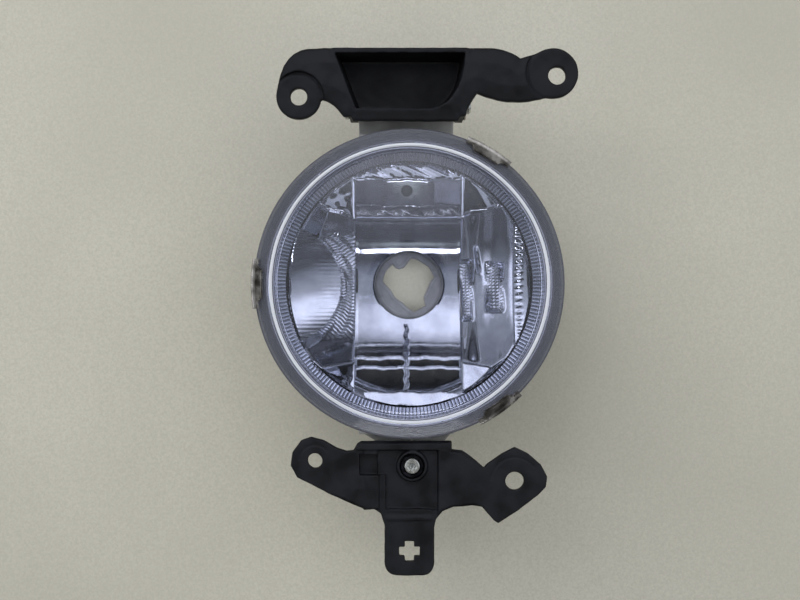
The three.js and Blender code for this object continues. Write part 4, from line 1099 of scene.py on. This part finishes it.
# %% Lens clips
def folded_clip(angle, width=16.6, steel=0.62, steps_round=28):
    sections = []
    for s in np.linspace(-1, 1, steps_round + 1):
        tongue = 2.95 - 1.5 * np.clip((abs(s) - 0.58) / 0.14, 0, 1)
        heel = 2.1 - 0.9 * np.clip((abs(s) - 0.7) / 0.15, 0, 1)
        press = 0.35 * math.exp(-((s / 0.28) ** 4))
        line = [(51.35 - tongue, -3.0), (51.35 - tongue + 0.5, -2.62), (50.6, -2.66), (51.2, -2.72), (51.62, -2.5),
                (51.78, -2.0), (51.78 - 0.2 * press, 0.5), (51.78 - press, 2.5), (51.78 - 0.2 * press, 5.2),
                (51.78, 6.9), (51.6, 7.5), (51.1, 7.66),
                (51.35 - heel + 0.4, 7.6), (51.35 - heel, 7.9)]
        line = np.array(line)
        along = np.gradient(line, axis=0)
        normal = np.stack([along[:, 1], -along[:, 0]], 1)
        normal /= np.linalg.norm(normal, axis=1)[:, None]
        loop = np.vstack([line + normal * steel / 2, (line - normal * steel / 2)[::-1]])
        a = math.radians(angle) + s * width / 2 / 51.8
        sections.append(np.stack([loop[:, 0] * math.cos(a), loop[:, 1], loop[:, 0] * math.sin(a)], 1))
    m = len(sections[0])
    faces = [(k * m + i, k * m + (i + 1) % m, (k + 1) * m + (i + 1) % m, (k + 1) * m + i)
             for k in range(len(sections) - 1) for i in range(m)]
    half = m // 2
    for base in (0, (len(sections) - 1) * m):
        faces += [(base + i, base + i + 1, base + m - 2 - i, base + m - 1 - i) for i in range(half - 1)]
    return np.vstack(sections), faces


for place, angle in (("upper_right", 59), ("left", 180), ("lower_right", -54)):
    points, faces = folded_clip(angle)
    piece("spring_clip_" + place, points, faces, spring_steel, "lamp_unit", ("lens_clip_" + place,),
          34, outward=True)

# %% [markdown]
# The aiming screw is turned: a plain neck in the bracket, a collar, and a core for the thread. The socket in its
# end has six flats, which are pressed into the turned profile by drawing its points in.

# %% Aiming screw
y0, y1 = screw_low[1], screw_high[1]
profile = [(0, y0 + 2.6), (0.9, y0 + 2.4), (1.31, y0 + 1.9), (1.311, y0 + 0.35), (1.62, y0 + 0.02), (2.05, y0),
           (2.4, y0 + 0.3), (2.5, y0 + 0.7), (2.5, 9.4), (4.0, 9.4), (4.2, 9.6), (4.2, 10.35), (4.0, 10.6),
           (2.5, 10.6), (2.45, 11.4), (2.05, 11.8),
           (2.05, y1 - 1.0), (1.5, y1), (0, y1)]
points, faces = turned(profile, 96)
radius = np.hypot(points[:, 0], points[:, 2])
turn = np.arctan2(points[:, 2], points[:, 0])
socket = (radius > 1.2) & (radius < 1.35)
flats = 0.93 / np.cos((turn[socket] % (math.pi / 3)) - math.pi / 6)
points[socket, 0] *= flats
points[socket, 2] *= flats
points += np.array((screw_x, 0, screw_z))
piece("screw_body", points, faces, zinc_steel, "aiming_screw", ("aiming_screw",), 34, outward=True)

# %% [markdown]
# The thread follows a helix of 2 mm pitch, so Geometry Nodes sweeps a small three-sided profile along a spiral
# whose number of turns comes from the length and the pitch.

# %% Screw thread
tree, given, out = geometry_tree("screw_thread", {"Pitch": "Float", "Length": "Float", "Core": "Float",
                                                  "Start": "Float", "X": "Float", "Z": "Float"})
rounds = add(tree, "ShaderNodeMath", {0: given["Length"], 1: given["Pitch"]}, operation="DIVIDE").outputs[0]
spiral = add(tree, "GeometryNodeCurveSpiral", {"Resolution": 40, "Rotations": rounds, "Start Radius": given["Core"],
                                               "End Radius": given["Core"], "Height": given["Length"]})
spiral = spiral.outputs["Curve"]
tooth = add(tree, "GeometryNodeCurvePrimitiveCircle", {"Resolution": 3, "Radius": 0.00052},
            mode="RADIUS").outputs["Curve"]
swept = add(tree, "GeometryNodeCurveToMesh", {"Curve": spiral, "Profile Curve": tooth,
                                              "Fill Caps": True}).outputs["Mesh"]
where = add(tree, "ShaderNodeCombineXYZ", {"X": given["X"], "Y": given["Start"], "Z": given["Z"]}).outputs[0]
laid = add(tree, "GeometryNodeTransform", {"Geometry": swept, "Translation": where,
                                           "Rotation": (-math.pi / 2, 0, 0)}).outputs[0]
realized(tree, laid, zinc_steel, out)
grown_piece("screw_thread", tree, {"Pitch": 0.002, "Length": 0.0235, "Core": 0.00202, "Start": 0.0124,
                                   "X": float(screw_x) * MM, "Z": float(screw_z) * MM},
            zinc_steel, "aiming_screw", ())

# %% [markdown]
# The small turned parts follow: the push nut and its mate on the pivot pin, both dished rings with slots between
# their fingers, the nylon washer, the pin with its head, and the two bushes. Slots are made by moving every few
# points of the inner edge outwards.

# %% Push nuts, washer, pin and bushes
def fingered_ring(inner, outer, low_face, high_face, fingers, centre, axis):
    middle = (low_face + high_face) / 2
    points, faces = turned([(inner, middle - 0.25), (inner + 0.5, low_face + 0.05), (outer - 0.25, low_face),
                            (outer, middle), (outer - 0.25, high_face), (inner + 0.5, high_face - 0.05),
                            (inner, middle + 0.15)], fingers * 10)
    radius = np.hypot(points[:, 0], points[:, 2])
    turn = np.arctan2(points[:, 2], points[:, 0]) / (2 * math.pi) * fingers % 1
    slot = (radius < inner + 0.6) & (np.abs(turn - 0.5) < 0.14)
    points[slot] *= np.stack([(inner + 0.75) / radius[slot], np.ones(slot.sum()), (inner + 0.75) / radius[slot]], 1)
    if axis == "X":
        points = points[:, [1, 0, 2]]
    return points + np.array(centre), faces


low, high = box_mm("screw_push_nut")
points, faces = fingered_ring(2.82, (high[0] - low[0]) / 2, low[1], high[1], 6, (screw_x, 0, screw_z), "Y")
piece("push_nut", points, faces, black_steel, "aiming_screw", ("screw_push_nut",), 34, outward=True)

low, high = box_mm("pivot_pin_clip")
points, faces = fingered_ring(2.82, (high[1] - low[1]) / 2, low[0], high[0], 6, PIVOT, "X")
piece("pin_push_clip", points, faces, spring_steel, "mounting", ("pivot_pin_clip",), 34,
      outward=True)

low, high = box_mm("screw_washer")
points, faces = turned([(2.85, low[1]), (4.2, low[1]), (4.4, low[1] + 0.2), (4.4, high[1] - 0.2), (4.2, high[1]),
                        (2.85, high[1])], 96, (screw_x, 0, screw_z))
piece("nylon_washer", points, faces, nylon_moulding, "aiming_screw", ("screw_washer",), 34, outward=True)

low, high = box_mm("pivot_pin")
reach = (high[2] - low[2]) / 2
points, faces = turned([(0, low[0]), (reach - 0.4, low[0]), (reach, low[0] + 0.35), (reach, low[0] + 1.4),
                        (reach - 0.2, low[0] + 1.6), (2.5, low[0] + 1.62), (2.5, high[0] - 0.7),
                        (1.9, high[0]), (0, high[0])], 72, PIVOT, "X")
piece("pivot_pin_turned", points, faces, zinc_steel, "mounting", ("pivot_pin",), 34, outward=True)

for side in ("left", "right"):
    low, high = box_mm("pivot_bush_" + side)
    points, faces = turned([(2.9, low[0] + 0.2), (3.1, low[0]), (3.85, low[0]), (4.0, low[0] + 0.2),
                            (4.0, high[0] - 0.2), (3.85, high[0]), (3.1, high[0]), (2.9, high[0] - 0.2)],
                           72, PIVOT, "X")
    piece("nylon_bush_" + side, points, faces, nylon_moulding, "lamp_unit", ("pivot_bush_" + side,), 34,
          outward=True)

# %% [markdown]
# The adjuster nut is a nylon spool that carries the lamp's lower lug between its flanges. It is turned.

# %% Adjuster nut
low, high = box_mm("adjuster_nut")
flange = (high[0] - low[0]) / 2
profile = [(2.9, low[1] + 0.3), (3.2, low[1]), (flange - 0.7, low[1]), (flange - 0.4, low[1] + 0.3),
           (flange - 0.4, low[1] + 1.9), (flange - 0.7, low[1] + 2.2), (4.5, low[1] + 2.2), (4.4, low[1] + 2.4),
           (4.4, high[1] - 2.4), (4.5, high[1] - 2.2), (flange - 0.7, high[1] - 2.2), (flange - 0.4, high[1] - 1.9),
           (flange - 0.4, high[1] - 0.3), (flange - 0.7, high[1]), (3.2, high[1]), (2.9, high[1] - 0.3)]
points, faces = turned(profile, 96, (screw_x, 0, screw_z))
piece("adjuster_spool", points, faces, nylon_moulding, "adjuster_nut", ("adjuster_nut",), 34, outward=True)

# %% [markdown]
# Small ribs round each flange give the fingers a grip and stop the nut turning. They repeat, so Geometry Nodes
# sets them round.

# %% Grip ribs on the nut
tree, given, out = geometry_tree("grip_ribs", {"Ribs": "Int", "Radius": "Float", "Middle": "Float",
                                               "Thickness": "Float", "Rib": "Float", "X": "Float", "Z": "Float"})
index = add(tree, "GeometryNodeInputIndex").outputs[0]
turn = add(tree, "ShaderNodeMath", {0: index, 1: given["Ribs"]}, operation="DIVIDE").outputs[0]
turn = add(tree, "ShaderNodeMath", {0: turn, 1: 2 * math.pi}, operation="MULTIPLY").outputs[0]
across = [add(tree, "ShaderNodeMath", {0: turn}, operation=kind).outputs[0] for kind in ("COSINE", "SINE")]
across = [add(tree, "ShaderNodeMath", {0: part, 1: given["Radius"]}, operation="MULTIPLY").outputs[0]
          for part in across]
across = [add(tree, "ShaderNodeMath", {0: part, 1: given[side]}, operation="ADD").outputs[0]
          for part, side in zip(across, "XZ")]
place = add(tree, "ShaderNodeCombineXYZ", {"X": across[0], "Y": given["Middle"], "Z": across[1]}).outputs[0]
points = add(tree, "GeometryNodePoints", {"Count": given["Ribs"], "Position": place}).outputs[0]
rod = add(tree, "GeometryNodeMeshCylinder", {"Vertices": 10, "Radius": given["Rib"], "Depth": given["Thickness"]},
          fill_type="NGON").outputs["Mesh"]
laid = add(tree, "GeometryNodeTransform", {"Geometry": rod, "Rotation": (math.pi / 2, 0, 0)}).outputs[0]
copies = add(tree, "GeometryNodeInstanceOnPoints", {"Points": points, "Instance": laid}).outputs[0]
realized(tree, copies, nylon_moulding, out)
for name, middle in (("front", low[1] + 1.1), ("back", high[1] - 1.1)):
    grown_piece("spool_grip_" + name, tree, {"Ribs": 20, "Radius": float(flange - 0.5) * MM,
                                             "Middle": float(middle) * MM, "Thickness": 0.0016,
                                             "Rib": 0.00045, "X": float(screw_x) * MM,
                                             "Z": float(screw_z) * MM},
                nylon_moulding, "adjuster_nut", ())

# %% [markdown]
# The rubber seal lies between the lens and the rim of the housing. It is turned, with two soft lips.

# %% Seal
low, high = box_mm("lens_seal")
front, back = low[1], high[1]
points, faces = turned([(47.4, front + 0.3), (47.8, front), (48.4, front), (48.7, front + 0.25),
                        (49.2, front + 0.25), (49.5, front), (50.2, front), (50.45, front + 0.3),
                        (50.45, back - 0.3), (50.2, back), (47.8, back), (47.4, back - 0.3)], 160)
piece("rubber_seal", points, faces, rubber, "lamp_unit", ("lens_seal",), 30, outward=True)

# %% [markdown]
# The vent elbow lets the lamp breathe and keeps water out. It is a round section carried along a bent path, with
# a bead at each end and shallow folds where it bends.

# %% Vent elbow
def swept_tube(path, sections, sides=40):
    """A closed tube wall along a path; each section is (place 0..1, outer radius, inner radius)."""
    path = np.asarray(path, float)
    lengths = np.linalg.norm(np.diff(path, axis=0), axis=1)
    run = np.concatenate([[0], np.cumsum(lengths)]) / lengths.sum()
    on_path = lambda t: np.array([np.interp(t, run, path[:, k]) for k in range(3)])
    rings = []
    for which in (1, 2):
        for section in sections if which == 1 else sections[::-1]:
            at = on_path(section[0])
            ahead = on_path(min(section[0] + 0.01, 1)) - on_path(max(section[0] - 0.01, 0))
            ahead /= np.linalg.norm(ahead)
            side = np.cross(ahead, (0.7071, 0, -0.7071))
            side /= np.linalg.norm(side)
            up = np.cross(side, ahead)
            a = np.linspace(0, 2 * math.pi, sides, endpoint=False)[:, None]
            rings.append(at + section[which] * (np.cos(a) * side + np.sin(a) * up))
    n = len(rings)
    faces = [(k * sides + i, k * sides + (i + 1) % sides,
              (k + 1) % n * sides + (i + 1) % sides, (k + 1) % n * sides + i)
             for k in range(n) for i in range(sides)]
    return np.vstack(rings), faces


start, bore = box_mm("vent_elbow")[0][1], 3.3
turn_y = bowl(0, 0) + 5.4 - 26.0**2 / 56 + 10 + 1
corner = bend((0, turn_y, 26), (0, turn_y + 7, 26), (4.9, turn_y + 7, 30.9), 14)
path = [(0, start, 26)] + corner + [(4.9 + 4.24, turn_y + 7, 30.9 + 4.24)]
sections = [(0.0, 4.3, bore), (0.012, 4.55, bore), (0.10, 4.55, bore), (0.115, 4.3, bore), (0.14, 4.3, bore)]
sections += [(t, 4.3 + 0.12 * math.cos(t * 60) * (0.32 < t < 0.72), bore) for t in np.linspace(0.18, 0.9, 40)]
sections += [(0.92, 4.3, bore), (0.94, 4.55, bore), (0.985, 4.55, bore), (1.0, 4.3, bore)]
points, faces = swept_tube(path, sections)
piece("vent_elbow_moulded", points, faces, rubber, "lamp_unit", ("vent_elbow",), 34, outward=True)

# %% [markdown]
# The filter is a small plug of open foam inside the elbow's mouth, which leans at 45 degrees.

# %% Foam filter
low, high = box_mm("vent_filter")
middle = (low + high) / 2
profile = [(0, -1.5), (1.4, -1.5), (2.6, -1.42), (2.98, -1.1), (2.98, 1.1), (2.6, 1.42), (1.4, 1.5), (0, 1.5)]
points, faces = turned(profile, 48)
lean = Matrix.Rotation(math.radians(-45), 3, "Y") @ Matrix.Rotation(math.radians(-90), 3, "Z")
points = points @ np.array(lean).T + middle
piece("foam_filter_plug", points, faces, foam, "lamp_unit", ("vent_filter",), 34, outward=True)
